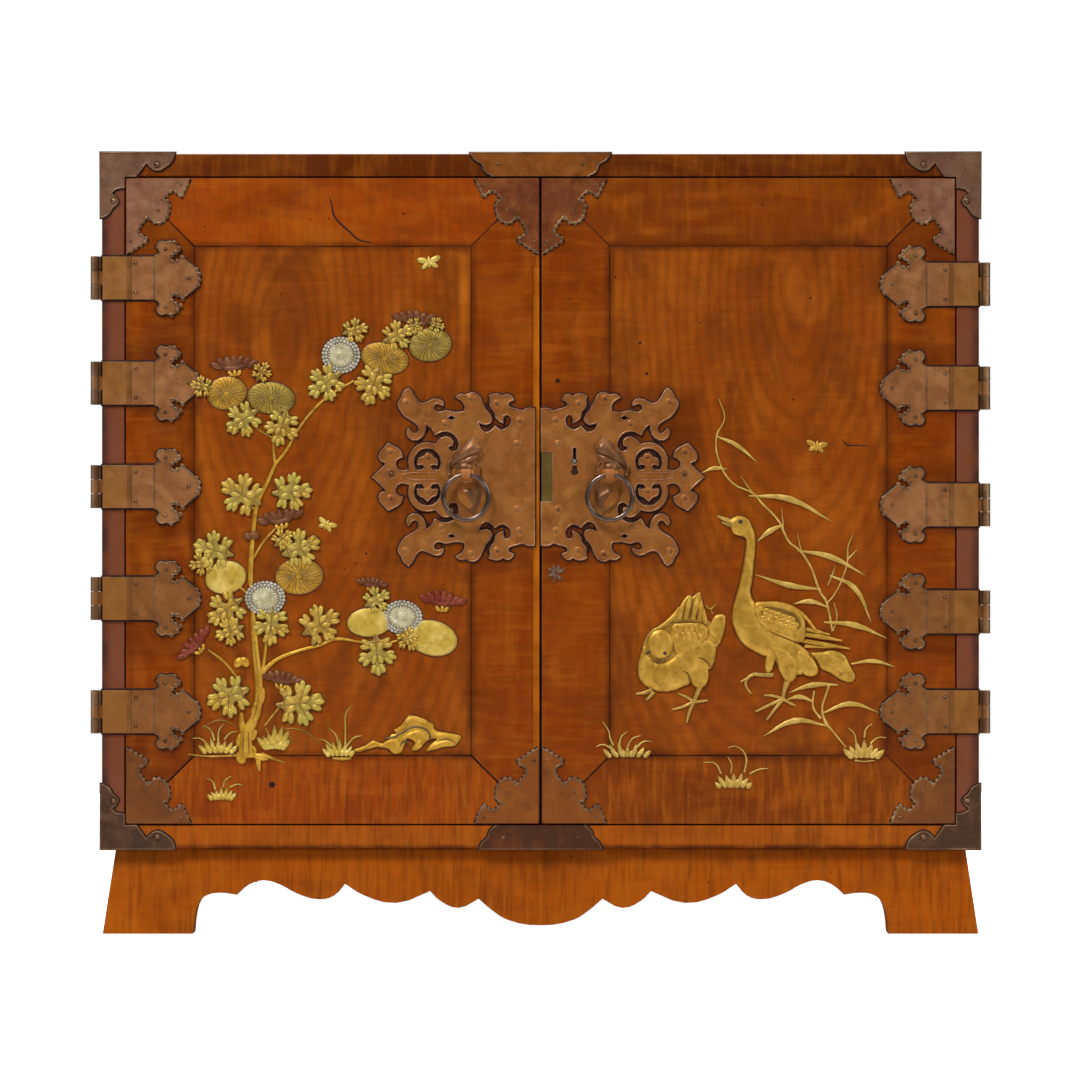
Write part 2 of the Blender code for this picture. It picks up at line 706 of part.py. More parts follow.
def make_centre_mount(name, level, wide, narrow, depth):
    """A mount over the middle of the case's top or bottom edge, wide at the edge and narrow beside the doors."""
    z = CASE_TOP if level > 0 else CASE_FLOOR
    shoulder = FIT + MOUNT_PLATE / 2
    half_wide, half_narrow = wide / 2, narrow / 2
    waist = (half_wide + half_narrow) / 2
    half = [
        (half_wide, shoulder, SHARP),
        (half_wide * 0.95, -CASE_BOARD * 0.22, SMOOTH),
        (waist, -CASE_BOARD * 0.45, SHARP),
        (waist * 0.95, -CASE_BOARD * 0.78, SMOOTH),
        (half_narrow, -CASE_BOARD, SHARP),
    ]
    outline = half + [(-u, v, kind) for u, v, kind in reversed(half)]
    mount = plate(name, [flipped(outline, 1, level)], MOUNT_PLATE, COPPER, (0, PLATE_SEAT, z), X, Z)
    flange_half = half_wide - MOUNT_PLATE
    flange_back = level * depth
    flange_loop = polygon((-flange_half, 0), (flange_half, 0), (half_narrow, flange_back), (-half_narrow, flange_back))
    seat = (0, PLATE_SEAT - MOUNT_PLATE / 2, z + level * FIT)
    return join(mount, plate("flange", [flange_loop], MOUNT_PLATE, COPPER, seat, X, level * Y))


def make_mounts():
    for side, side_word in ((-1, "left"), (1, "right")):
        for level, level_word in ((1, "top"), (-1, "bottom")):
            make_case_corner(side, level, f"case_{level_word}_{side_word}_corner")
    make_centre_mount("case_top_centre_mount", 1, TOP_MOUNT_WIDTH, TOP_MOUNT_FOOT, TOP_MOUNT_DEPTH)
    make_centre_mount("case_bottom_centre_mount", -1, BOTTOM_MOUNT_WIDTH, BOTTOM_MOUNT_HEAD, UNDER_FLANGE)


# Lock plates

# Upper half of a lock plate's pierced edge, from its straight edge to its outer tip:
# hundredths of the reach, hundredths of the half height.
LOCK_PLATE_EDGE = (
    # straight edge and the scalloped edge above it
    (0.0, 77.0, SHARP),
    (4.9, 76.8, SMOOTH),
    (7.3, 73.8, SHARP),
    (11.0, 76.4, SMOOTH),
    (15.3, 78.4, SMOOTH),
    # small leaf with a hook
    (16.5, 81.9, SMOOTH),
    (15.2, 85.6, SMOOTH),
    (12.7, 86.8, SHARP),
    (14.6, 91.6, SMOOTH),
    (17.1, 93.0, SMOOTH),
    (19.1, 90.4, SHARP),
    (23.0, 93.4, SMOOTH),
    (28.0, 91.4, SHARP),
    (27.0, 86.9, SMOOTH),
    (27.4, 80.5, SMOOTH),
    (24.5, 73.5, SMOOTH),
    (23.8, 67.0, SMOOTH),
    (19.4, 60.6, SHARP),
    # paired crescents under the leaves
    (19.4, 67.5, SMOOTH),
    (16.7, 70.6, SMOOTH),
    (14.2, 63.0, SMOOTH),
    (17.6, 54.0, SMOOTH),
    (21.4, 53.2, SMOOTH),
    (24.3, 57.2, SHARP),
    (28.2, 50.0, SMOOTH),
    (33.0, 53.0, SMOOTH),
    (34.8, 62.6, SHARP),
    # large leaf
    (29.6, 59.2, SMOOTH),
    (26.2, 65.0, SMOOTH),
    (30.2, 75.3, SMOOTH),
    (32.4, 84.5, SMOOTH),
    (35.0, 92.7, SMOOTH),
    (38.6, 94.8, SMOOTH),
    (42.0, 91.8, SHARP),
    (45.4, 93.0, SMOOTH),
    (48.6, 89.6, SHARP),
    (44.6, 86.0, SMOOTH),
    (42.6, 79.0, SMOOTH),
    (43.3, 73.4, SHARP),
    # arm and its curl
    (49.0, 72.4, SMOOTH),
    (54.6, 74.6, SMOOTH),
    (59.0, 72.4, SMOOTH),
    (62.2, 77.0, SMOOTH),
    (60.6, 83.0, SMOOTH),
    (56.2, 80.4, SHARP),
    (56.4, 84.4, SMOOTH),
    (60.0, 88.0, SMOOTH),
    (64.4, 85.4, SMOOTH),
    (69.4, 82.4, SMOOTH),
    # finial leaf
    (73.4, 89.0, SMOOTH),
    (75.4, 96.0, SMOOTH),
    (77.3, 100.0, SHARP),
    (80.4, 95.5, SMOOTH),
    (81.8, 88.6, SHARP),
    (83.9, 83.5, SMOOTH),
    (82.6, 76.5, SMOOTH),
    (79.3, 68.1, SMOOTH),
    (73.6, 62.0, SMOOTH),
    # lower curl
    (70.9, 54.5, SMOOTH),
    (73.2, 48.2, SMOOTH),
    (76.0, 51.0, SMOOTH),
    (77.4, 54.9, SHARP),
    (78.6, 50.0, SMOOTH),
    (75.0, 42.0, SMOOTH),
    (69.8, 44.5, SMOOTH),
    (67.2, 53.5, SMOOTH),
    (67.1, 60.1, SHARP),
    (63.4, 55.5, SMOOTH),
    (61.2, 47.1, SHARP),
    # crescent over the comma scroll
    (57.0, 51.5, SMOOTH),
    (51.6, 50.8, SMOOTH),
    (47.4, 43.8, SMOOTH),
    (46.4, 34.0, SMOOTH),
    (48.6, 28.6, SMOOTH),
    (52.0, 29.4, SMOOTH),
    (53.2, 34.0, SMOOTH),
    (50.8, 35.4, SHARP),
    (50.4, 40.4, SMOOTH),
    (54.3, 45.0, SMOOTH),
    (58.8, 41.0, SMOOTH),
    (60.8, 36.3, SHARP),
    # outside of the round scroll
    (65.8, 38.4, SMOOTH),
    (72.1, 34.8, SMOOTH),
    (76.2, 25.6, SMOOTH),
    (77.3, 16.9, SMOOTH),
    (76.6, 8.8, SHARP),
    # neck and trefoil finial
    (82.0, 6.6, SMOOTH),
    (85.6, 13.0, SMOOTH),
    (84.6, 20.0, SMOOTH),
    (81.2, 22.6, SHARP),
    (82.4, 29.4, SMOOTH),
    (86.4, 34.2, SMOOTH),
    (89.8, 37.7, SHARP),
    (92.6, 32.0, SMOOTH),
    (95.7, 22.6, SMOOTH),
    (93.9, 17.7, SHARP),
    (91.4, 16.0, SMOOTH),
    (93.2, 10.5, SMOOTH),
    (100.0, 0.0, SHARP),
)

# The opening inside the round scroll, round the little fleur that stands in it, in the same hundredths.
SCROLL_OPENING = (
    (58.6, 7.4, SHARP),
    (62.6, 7.4, SHARP),
    (64.2, 12.4, SMOOTH),
    (61.8, 14.4, SMOOTH),
    (59.8, 13.4, SHARP),
    (60.4, 20.4, SMOOTH),
    (63.2, 22.4, SMOOTH),
    (65.8, 27.4, SHARP),
    (68.4, 22.4, SMOOTH),
    (71.2, 20.4, SMOOTH),
    (71.8, 13.4, SHARP),
    (69.8, 14.4, SMOOTH),
    (67.4, 12.4, SMOOTH),
    (69.0, 7.4, SHARP),
    (73.0, 7.4, SHARP),
    (74.5, 16.9, SMOOTH),
    (72.0, 28.2, SMOOTH),
    (65.8, 33.0, SMOOTH),
    (59.6, 28.2, SMOOTH),
    (57.1, 16.9, SMOOTH),
)

DIAMOND_OPENING = ((48.0, 66.5, SHARP), (51.0, 70.0, SHARP), (54.0, 66.5, SHARP), (51.0, 63.0, SHARP))


def keyhole_outline(u, v, grow):
    """A round hole at (u, v) with a slot above it, grown by a clearance."""
    radius, slot = KEYHOLE_RADIUS + grow, KEYHOLE_SLOT / 2 + grow
    top = v + KEYHOLE_HEIGHT - KEYHOLE_RADIUS + grow
    shoulder = math.asin(slot / radius)
    turns = 8
    start = math.pi / 2 + shoulder
    sweep = 2 * (math.pi - shoulder)
    points = [(u - slot, top)]
    for step in range(turns + 1):
        angle = start + sweep * step / turns
        points.append((u + radius * math.cos(angle), v + radius * math.sin(angle)))
    points.append((u + slot, top))
    return polygon(*points)


def selvedge_notch():
    """The straight edge of the right lock plate, stepped back round the lip of the lock's selvedge."""
    deep = SELVEDGE_LIP + 2 * FIT
    half = SELVEDGE_HEIGHT / 2 + FIT
    return polygon((0.0, half), (deep, half), (deep, -half), (0.0, -half))


def make_lock_plate(side, word):
    edge = with_reflection(scaled(LOCK_PLATE_EDGE, LOCK_PLATE_REACH, LOCK_PLATE_HALF))
    straight = door_edges(side)[1]
    if side > 0:
        edge += list(reversed(selvedge_notch()))
    else:
        straight -= LOCK_PLATE_INSET
    loops = [edge]
    for opening in (SCROLL_OPENING, DIAMOND_OPENING):
        upper = scaled(opening, LOCK_PLATE_REACH, LOCK_PLATE_HALF)
        loops += [upper, flipped(upper, 1, -1)]
    if side > 0:
        loops.append(keyhole_outline(KEYHOLE_ALONG, KEYHOLE_RISE, 0.0))
    loops = [flipped(loop, side, 1) for loop in loops]
    return plate(
        f"{word}_lock_plate", loops, LOCK_PLATE, COPPER, (straight, PLATE_SEAT, LOCK_Z), X, Z, FRET_STEPS
    )


# Bosses and rings

# A boss's twisted leaf, as hundredths of its half width and half height about the ring's hanging point.
BOSS_LEAF = (
    (55.0, 100.0, SHARP),
    (100.0, 60.0, SMOOTH),
    (52.0, 31.0, SMOOTH),
    (84.0, 12.0, SMOOTH),
    (56.0, -14.0, SMOOTH),
    (74.0, -58.0, SMOOTH),
    (20.0, -97.0, SHARP),
    (-52.0, -64.0, SMOOTH),
    (-56.0, -22.0, SMOOTH),
    (-92.0, 6.0, SMOOTH),
    (-54.0, 30.0, SMOOTH),
    (-30.0, 62.0, SMOOTH),
)


def ring_hang(side):
    """The point that a ring hangs from."""
    straight = door_edges(side)[1]
    if side < 0:
        straight -= LOCK_PLATE_INSET
    return Vector((straight + side * RING_ALONG, RING_Y, LOCK_Z + RING_RISE))


def make_boss(side, word):
    """A cast leaf boss on the lock plate, with a domed middle and a bored lug that the ring hangs in."""
    hang = ring_hang(side)
    seat_y = PLATE_SEAT - LOCK_PLATE - FIT
    seat = Vector((hang.x, seat_y, hang.z))
    leaf = flipped(scaled(BOSS_LEAF, BOSS_WIDTH / 2, BOSS_HEIGHT / 2), -side, 1)
    boss = plate(f"{word}_ring_boss", [leaf], BOSS_PLATE, COPPER, seat, X, Z)

    def build_dome(shape):
        bmesh.ops.create_uvsphere(shape, u_segments=ROUND_SEGMENTS, v_segments=8, radius=1.0)

    dome_mesh = mesh_from(build_dome)
    dome_mesh.transform(Matrix.Diagonal((BOSS_DOME_RADIUS, BOSS_DOME_HEIGHT, BOSS_DOME_RADIUS, 1.0)))
    dome = add_object("dome", dome_mesh, COPPER, Matrix.Translation(seat))
    behind = box(
        "behind",
        (seat.x - BOSS_WIDTH, seat_y - BOSS_PLATE / 2, seat.z - BOSS_HEIGHT),
        (seat.x + BOSS_WIDTH, seat_y + BOSS_WIDTH, seat.z + BOSS_HEIGHT),
        COPPER,
    )
    cut(dome, behind)
    lug = rod("lug", hang, X, RING_WIRE + RING_PLAY + LUG_WALL, LUG_LENGTH, COPPER)
    eye = rod("eye", hang, X, RING_WIRE + RING_PLAY, 3 * LUG_LENGTH, COPPER)
    return cut(join(boss, dome, lug), eye)


def make_ring(side, word):
    """A drop ring whose origin is the point it hangs from."""
    bpy.ops.mesh.primitive_torus_add(
        major_segments=RING_SEGMENTS,
        minor_segments=WIRE_SEGMENTS,
        major_radius=RING_RADIUS,
        minor_radius=RING_WIRE,
    )
    drawn = bpy.context.active_object
    mesh = drawn.data.copy()
    bpy.data.objects.remove(drawn)
    mesh.transform(Matrix.Translation((0, 0, -RING_RADIUS)) @ Matrix.Rotation(math.pi / 2, 4, "X"))
    mesh.shade_smooth()
    return add_object(f"{word}_ring", mesh, RING_COPPER, Matrix.Translation(ring_hang(side)))


# Lock


def lock_spaces(grow):
    """The blocks that the lock fills in the right door, grown by a clearance: its case and its selvedge."""
    case = box(
        "lock_space",
        (LOCK_EDGE + SELVEDGE / 2 - 3 * grow, DOOR_BACK - LOCK_DEPTH - grow, LOCK_Z - LOCK_HEIGHT / 2 - grow),
        (LOCK_EDGE + LOCK_LENGTH + grow, DOOR_BACK + grow, LOCK_Z + LOCK_HEIGHT / 2 + grow),
        LOCK_BRASS,
    )
    selvedge = box(
        "selvedge_space",
        (LOCK_EDGE - grow, PLATE_SEAT - MOUNT_PLATE / 2 - grow, LOCK_Z - SELVEDGE_HEIGHT / 2 - grow),
        (LOCK_EDGE + SELVEDGE + grow, DOOR_BACK - SELVEDGE + 6 * grow, LOCK_Z + SELVEDGE_HEIGHT / 2 + grow),
        LOCK_BRASS,
    )
    return case, selvedge


def bolt_box(name, low_x, high_x, grow):
    middle = DOOR_BACK - LOCK_DEPTH / 2
    return box(
        name,
        (low_x, middle - BOLT_DEPTH / 2 - grow, LOCK_Z - BOLT_HEIGHT / 2 - grow),
        (high_x, middle + BOLT_DEPTH / 2 + grow, LOCK_Z + BOLT_HEIGHT / 2 + grow),
        LOCK_BRASS,
    )


def make_lock(left_stile, right_stile):
    """A half-mortise lock let into the right door, whose bolt slides into a pocket in the left door."""
    cut(right_stile, *lock_spaces(FIT))
    key_space = plate(
        "key_space",
        [keyhole_outline(LOCK_EDGE + KEYHOLE_ALONG, LOCK_Z + KEYHOLE_RISE, FIT)],
        DOOR_BOARD,
        LOCK_BRASS,
        (0.0, DOOR_BACK - LOCK_DEPTH + FIT, 0.0),
        X,
        Z,
    )
    cut(right_stile, key_space)
    pocket_depth = BOLT_THROW - MEETING_GAP + POCKET_SPARE
    cut(left_stile, bolt_box("pocket", -MEETING_GAP / 2 - pocket_depth, 0.0, 2 * FIT))

    case, selvedge = lock_spaces(0.0)
    case.name = "lock_case"
    lip = box(
        "lip",
        (LOCK_EDGE + LAP, PLATE_SEAT - MOUNT_PLATE, LOCK_Z - SELVEDGE_HEIGHT / 2 + LAP),
        (LOCK_EDGE + SELVEDGE_LIP, PLATE_SEAT, LOCK_Z + SELVEDGE_HEIGHT / 2 - LAP),
        LOCK_BRASS,
    )
    join(case, selvedge, lip)
    cut(case, bolt_box("channel", 0.0, LOCK_EDGE + BOLT_LENGTH + BOLT_THROW, FIT))
    bolt = bolt_box("lock_bolt", LOCK_EDGE + FIT, LOCK_EDGE + BOLT_LENGTH, 0.0)
    return case, bolt


def carry(pieces, name, location):
    """Parents pieces to an empty on their joint's axis, where they are."""
    pivot = bpy.data.objects.new(name, None)
    pivot.location = location
    PARTS.objects.link(pivot)
    bpy.context.view_layer.update()
    for piece in pieces:
        piece.parent = pivot
        piece.matrix_parent_inverse = pivot.matrix_world.inverted()


def main():
    make_case()
    make_base()
    make_mounts()
    doors = {}
    for side, word, stations in ((-1, "left", LEFT_HINGE_STATIONS), (1, "right", RIGHT_HINGE_STATIONS)):
        boards = make_door_leaf(side, word)
        fittings = make_hinges(side, word, stations) + make_door_corners(side, word)
        fittings += [make_lock_plate(side, word), make_boss(side, word), make_ring(side, word)]
        doors[side] = (boards, fittings)
    lock = make_lock(doors[-1][0]["left_door_meeting_stile"], doors[1][0]["right_door_meeting_stile"])
    doors[1][1].extend(lock)
    for side, word in ((-1, "left"), (1, "right")):
        boards, fittings = doors[side]
        carry([*boards.values(), *fittings], f"{word}_door_pivot", (side * PIN_X, PIN_Y, DOOR_BOTTOM))


main()
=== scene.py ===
"""Looks of the lacquer cabinet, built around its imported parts.

The boards get figured lacquer and the mounts patinated copper. Nails, cast bosses, drop rings and the
raised gold pictures on the two doors are modelled here, and each rides on the body that carries it.
"""

import json
import logging
import math
import random
from dataclasses import dataclass, field, replace
from enum import Enum
from typing import Callable, ClassVar, Sequence

import bmesh
import bpy
from bmesh.types import BMEdge, BMesh, BMVert
from bpy.types import Curve, Material, Mesh, Node, NodeSocket, NodeTree, Object
from mathutils import Matrix, Vector
from mathutils.geometry import delaunay_2d_cdt, interpolate_bezier, intersect_line_line_2d
from mathutils.kdtree import KDTree

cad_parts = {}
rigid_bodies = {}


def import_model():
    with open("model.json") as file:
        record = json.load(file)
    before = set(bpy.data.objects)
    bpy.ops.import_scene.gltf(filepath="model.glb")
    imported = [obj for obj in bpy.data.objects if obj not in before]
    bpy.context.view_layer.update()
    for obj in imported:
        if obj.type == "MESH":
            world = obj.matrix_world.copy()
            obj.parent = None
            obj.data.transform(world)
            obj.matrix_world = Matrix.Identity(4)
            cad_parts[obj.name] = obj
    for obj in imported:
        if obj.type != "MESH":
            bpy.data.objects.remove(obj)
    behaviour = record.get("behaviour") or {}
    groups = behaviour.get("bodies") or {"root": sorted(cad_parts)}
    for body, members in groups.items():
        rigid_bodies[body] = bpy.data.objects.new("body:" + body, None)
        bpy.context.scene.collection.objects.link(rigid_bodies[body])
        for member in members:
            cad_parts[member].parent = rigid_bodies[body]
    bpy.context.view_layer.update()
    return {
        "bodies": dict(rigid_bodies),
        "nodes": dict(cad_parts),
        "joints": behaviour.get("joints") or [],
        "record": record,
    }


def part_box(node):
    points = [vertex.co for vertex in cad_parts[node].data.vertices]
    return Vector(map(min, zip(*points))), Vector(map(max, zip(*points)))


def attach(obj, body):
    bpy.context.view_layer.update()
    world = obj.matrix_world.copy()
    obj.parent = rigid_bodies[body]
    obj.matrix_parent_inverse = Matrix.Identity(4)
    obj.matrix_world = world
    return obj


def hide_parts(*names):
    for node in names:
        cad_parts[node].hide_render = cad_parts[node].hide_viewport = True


Point = tuple[float, float]
Triple = tuple[float, float, float]
Colour = tuple[float, float, float, float]

LOG = logging.getLogger("lacquer_cabinet")
MM = 0.001
CASE_HALF_WIDTH = 450 * MM
HINGES = range(1, 6)
FORWARD = Vector((0, -1, 0))
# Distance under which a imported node's corners are one, and the sharpest turn that isn't an edge.
WELD = 0.01 * MM
EDGE_ANGLE = math.radians(35)


class Side(Enum):
    """The two doors, and which way each lies from the middle."""

    LEFT = "left"
    RIGHT = "right"

    @property
    def outward(self) -> int:
        """Sign of x on this side."""
        return -1 if self is Side.LEFT else 1

    @property
    def door(self) -> str:
        """Name of the body that this side's door is."""
        return f"{self.value}_door"


# Pixel columns of each door's left and right edge.
DOOR_COLUMNS = {Side.LEFT: (122, 542), Side.RIGHT: (547, 956)}


class Grain(Enum):
    """The way a board's grain runs, by the number of its axis."""

    ACROSS = 0
    UPRIGHT = 2


# Finishes


def to_linear(hex_colour: str) -> Colour:
    """Turn an sRGB hex colour into linear light.

    Args:
        hex_colour: six digits after a hash sign.

    Returns:
        Red, green, blue and alpha.
    """
    channels = []
    for start in (1, 3, 5):
        value = int(hex_colour[start:start + 2], 16) / 255
        channels.append(value / 12.92 if value <= 0.04045 else ((value + 0.055) / 1.055) ** 2.4)
    return channels[0], channels[1], channels[2], 1.0


def add_node(tree: NodeTree, kind: str, inputs: dict | None = None, **settings: object) -> Node:
    """Add a node with its settings and links.

    Args:
        tree: the material's node tree.
        kind: Blender's name for the node.
        inputs: a socket to link or a value to set, by input name or number.
        settings: the node's own properties.

    Returns:
        The new node.
    """
    node = tree.nodes.new(kind)
    for name, value in settings.items():
        setattr(node, name, value)
    for name, value in (inputs or {}).items():
        if isinstance(value, NodeSocket):
            tree.links.new(value, node.inputs[name])
        else:
            node.inputs[name].default_value = value
    return node


@dataclass(frozen=True)
class Layer:
    """A stretched noise that mixes one colour into a finish.

    Attributes:
        colour: what it mixes in.
        size: how large its patches are along x, y and z, in metres.
        low: noise value where the colour starts.
        high: noise value where the colour is fullest.
        amount: how much of the colour shows there.
        twist: how far the noise is pulled out of shape.
        detail: how many finer noises lie on it.
        heart: middle of growth rings that take the noise's place, or none.
    """

    colour: str
    size: Triple
    low: float
    high: float
    amount: float
    twist: float = 0.0
    detail: float = 3.0
    heart: Triple | None = None


@dataclass(frozen=True)
class Zone:
    """A rectangle on the front, the same to the left and right of the middle, where a finish changes colour.

    Attributes:
        colour: what it mixes in.
        middle: how far its middle lies from the cabinet's, and its height.
        half: half its width and half its height.
        reach: over how far the colour fades.
        amount: how much of the colour shows.
        line: whether the colour lies along the rectangle's edge and not inside it.
        front: depth coordinate of the only face that shows it, or none for every face.
    """

    colour: str
    middle: Point
    half: Point
    reach: float
    amount: float
    line: bool = False
    front: float | None = None


@dataclass(frozen=True)
class Finish:
    """A surface: a ground colour, the layers over it and how it takes the light.

    Attributes:
        name: the real material.
        ground: the colour under the layers.
        layers: patterns, first one lowest.
        slot: the record's material slot; not used.
        metallic: 0 for lacquer, near 1 for bare metal.
        roughness: smallest and largest roughness over the surface.
        rough_size: size of the patches of roughness, in metres.
        specular: strength of the surface's own reflection, 0.5 for the usual one.
        grit: height of the bump, in metres.
        grit_size: size of the bump's grain along x, y and z, in metres.
        low_colour: colour that raised work takes towards its ground, painted shade in its hollows with the
            lacquer showing there, or none.
        rise: depth coordinate of the ground and of the tops of raised work.
        zones: rectangles of another colour.
    """

    # Noise values between which the roughness goes from its smallest to its largest.
    ROUGH_SPAN = (0.3, 0.7)
    # Size of the patches that make a zone uneven, their noise values, and the least share that they leave.
    PATCH = 28 * MM
    PATCH_SPAN = (0.35, 0.6)
    PATCH_LEAST = 0.45
    # How far behind a face a zone that only this face shows starts to fade, and is gone.
    FACE_SPAN = (1.5 * MM, 3 * MM)
    name: str
    ground: str
    layers: tuple[Layer, ...]
    slot: str
    metallic: float = 0.0
    roughness: Point = (0.35, 0.5)
    rough_size: float = 30 * MM
    specular: float = 0.5
    grit: float = 0.1 * MM
    grit_size: Triple = (2 * MM, 2 * MM, 2 * MM)
    low_colour: str = ""
    rise: Point = (0.0, 0.0)
    zones: tuple[Zone, ...] = ()

    def material(self) -> Material:
        """Make the material, or find it if it is already made.

        Returns:
            The material, named for the finish.
        """
        if self.name in bpy.data.materials:
            return bpy.data.materials[self.name]
        material = bpy.data.materials.new(self.name)
        material.use_nodes = True
        tree = material.node_tree
        shader = tree.nodes["Principled BSDF"]
        shader.inputs["Metallic"].default_value = self.metallic
        shader.inputs["Specular IOR Level"].default_value = self.specular
        place = add_node(tree, "ShaderNodeTexCoord").outputs["Object"]
        tree.links.new(self._colour(tree, place), shader.inputs["Base Color"])
        patches = add_node(tree, "ShaderNodeTexNoise", {"Vector": place, "Scale": 1 / self.rough_size})
        spread = dict(zip(("From Min", "From Max", "To Min", "To Max"), (*self.ROUGH_SPAN, *self.roughness)))
        dullness = add_node(tree, "ShaderNodeMapRange", {"Value": patches.outputs["Fac"]} | spread)
        tree.links.new(dullness.outputs["Result"], shader.inputs["Roughness"])
        scale = [1 / size for size in self.grit_size]
        stretched = add_node(tree, "ShaderNodeMapping", {"Vector": place, "Scale": scale})
        grain = add_node(tree, "ShaderNodeTexNoise", {"Vector": stretched.outputs["Vector"], "Scale": 1.0})
        bump = add_node(tree, "ShaderNodeBump", {"Height": grain.outputs["Fac"], "Distance": self.grit})
        tree.links.new(bump.outputs["Normal"], shader.inputs["Normal"])
        return material

    def _colour(self, tree: NodeTree, place: NodeSocket) -> NodeSocket:
        """Lay the layers over the ground.

        Args:
            tree: the material's node tree.
            place: object coordinates.

        Returns:
            The socket that gives the colour.
        """
        shade: NodeSocket | Colour = to_linear(self.ground)
        for layer in self.layers:
            scale = [1 / size for size in layer.size]
            shift = [-middle / size for middle, size in zip(layer.heart or (0.0, 0.0, 0.0), layer.size)]
            placed = {"Vector": place, "Scale": scale, "Location": shift}
            stretched = add_node(tree, "ShaderNodeMapping", placed)
            noise_in = {"Vector": stretched.outputs["Vector"], "Scale": 1.0}
            noise_in |= {"Detail": layer.detail, "Distortion": layer.twist}
            if layer.heart:
                noise = add_node(tree, "ShaderNodeTexWave", noise_in, wave_type="RINGS",
                                 rings_direction="SPHERICAL")
            else:
                noise = add_node(tree, "ShaderNodeTexNoise", noise_in)
            spread = {"Value": noise.outputs["Fac"], "From Min": layer.low, "From Max": layer.high}
            share = add_node(tree, "ShaderNodeMapRange", spread | {"To Max": layer.amount})
            mix_in = {0: share.outputs["Result"], 6: shade, 7: to_linear(layer.colour)}
            shade = add_node(tree, "ShaderNodeMix", mix_in, data_type="RGBA").outputs[2]
        parts = add_node(tree, "ShaderNodeSeparateXYZ", {"Vector": place})
        for zone in self.zones:
            mix_in = {0: self._share(tree, place, parts, zone), 6: shade, 7: to_linear(zone.colour)}
            shade = add_node(tree, "ShaderNodeMix", mix_in, data_type="RGBA").outputs[2]
        # Darker towards the ground of raised work: painted shade in its hollows, with the lacquer showing
        # there.
        if self.low_colour:
            spread = {"Value": parts.outputs["Y"], "From Min": self.rise[0], "From Max": self.rise[1]}
            height = add_node(tree, "ShaderNodeMapRange", spread)
            mix_in = {0: height.outputs["Result"], 6: to_linear(self.low_colour), 7: shade}
            shade = add_node(tree, "ShaderNodeMix", mix_in, data_type="RGBA").outputs[2]
        return shade

    def _share(self, tree: NodeTree, place: NodeSocket, parts: Node, zone: Zone) -> NodeSocket:
        """Find how much of a zone's colour shows, which is a little uneven.

        Args:
            tree: the material's node tree.
            place: object coordinates.
            parts: the node that splits them.
            zone: the zone.

        Returns:
            The socket that gives the share.
        """
        aside = add_node(tree, "ShaderNodeMath", {0: parts.outputs["X"]}, operation="ABSOLUTE").outputs[0]
        gaps = []
        for start, middle, half in zip((aside, parts.outputs["Z"]), zone.middle, zone.half):
            off = add_node(tree, "ShaderNodeMath", {0: start, 1: middle}, operation="SUBTRACT").outputs[0]
            away = add_node(tree, "ShaderNodeMath", {0: off}, operation="ABSOLUTE").outputs[0]
            gap = add_node(tree, "ShaderNodeMath", {0: away, 1: half}, operation="SUBTRACT").outputs[0]
            gaps.append(gap)
        far = add_node(tree, "ShaderNodeMath", {0: gaps[0], 1: gaps[1]}, operation="MAXIMUM").outputs[0]
        if zone.line:
            far = add_node(tree, "ShaderNodeMath", {0: far}, operation="ABSOLUTE").outputs[0]
        fade = {"Value": far, "From Min": 0.0, "From Max": zone.reach, "To Min": zone.amount, "To Max": 0.0}
        near = add_node(tree, "ShaderNodeMapRange", fade, interpolation_type="SMOOTHSTEP").outputs["Result"]
        if zone.front is not None:
            shown, gone = (zone.front + depth for depth in self.FACE_SPAN)
            depth = {"Value": parts.outputs["Y"], "From Min": gone, "From Max": shown}
            on_face = add_node(tree, "ShaderNodeMapRange", depth).outputs["Result"]
            near = add_node(tree, "ShaderNodeMath", {0: near, 1: on_face}, operation="MULTIPLY").outputs[0]
        patches = add_node(tree, "ShaderNodeTexNoise", {"Vector": place, "Scale": 1 / self.PATCH})
        spread = dict(zip(("From Min", "From Max"), self.PATCH_SPAN)) | {"Value": patches.outputs["Fac"]}
        spread |= {"To Min": self.PATCH_LEAST, "To Max": 1.0}
        uneven = add_node(tree, "ShaderNodeMapRange", spread).outputs["Result"]
        return add_node(tree, "ShaderNodeMath", {0: near, 1: uneven}, operation="MULTIPLY").outputs[0]


def along(grain: Grain, length: float, width: float) -> Triple:
    """Size of a pattern that is longer along the grain.

    Args:
        grain: the way the grain runs.
        length: size along it, in metres.
        width: size across it, in metres.

    Returns:
        The size along x, y and z.
    """
    sizes = [width, width, width]
    sizes[grain.value] = length
    return sizes[0], sizes[1], sizes[2]


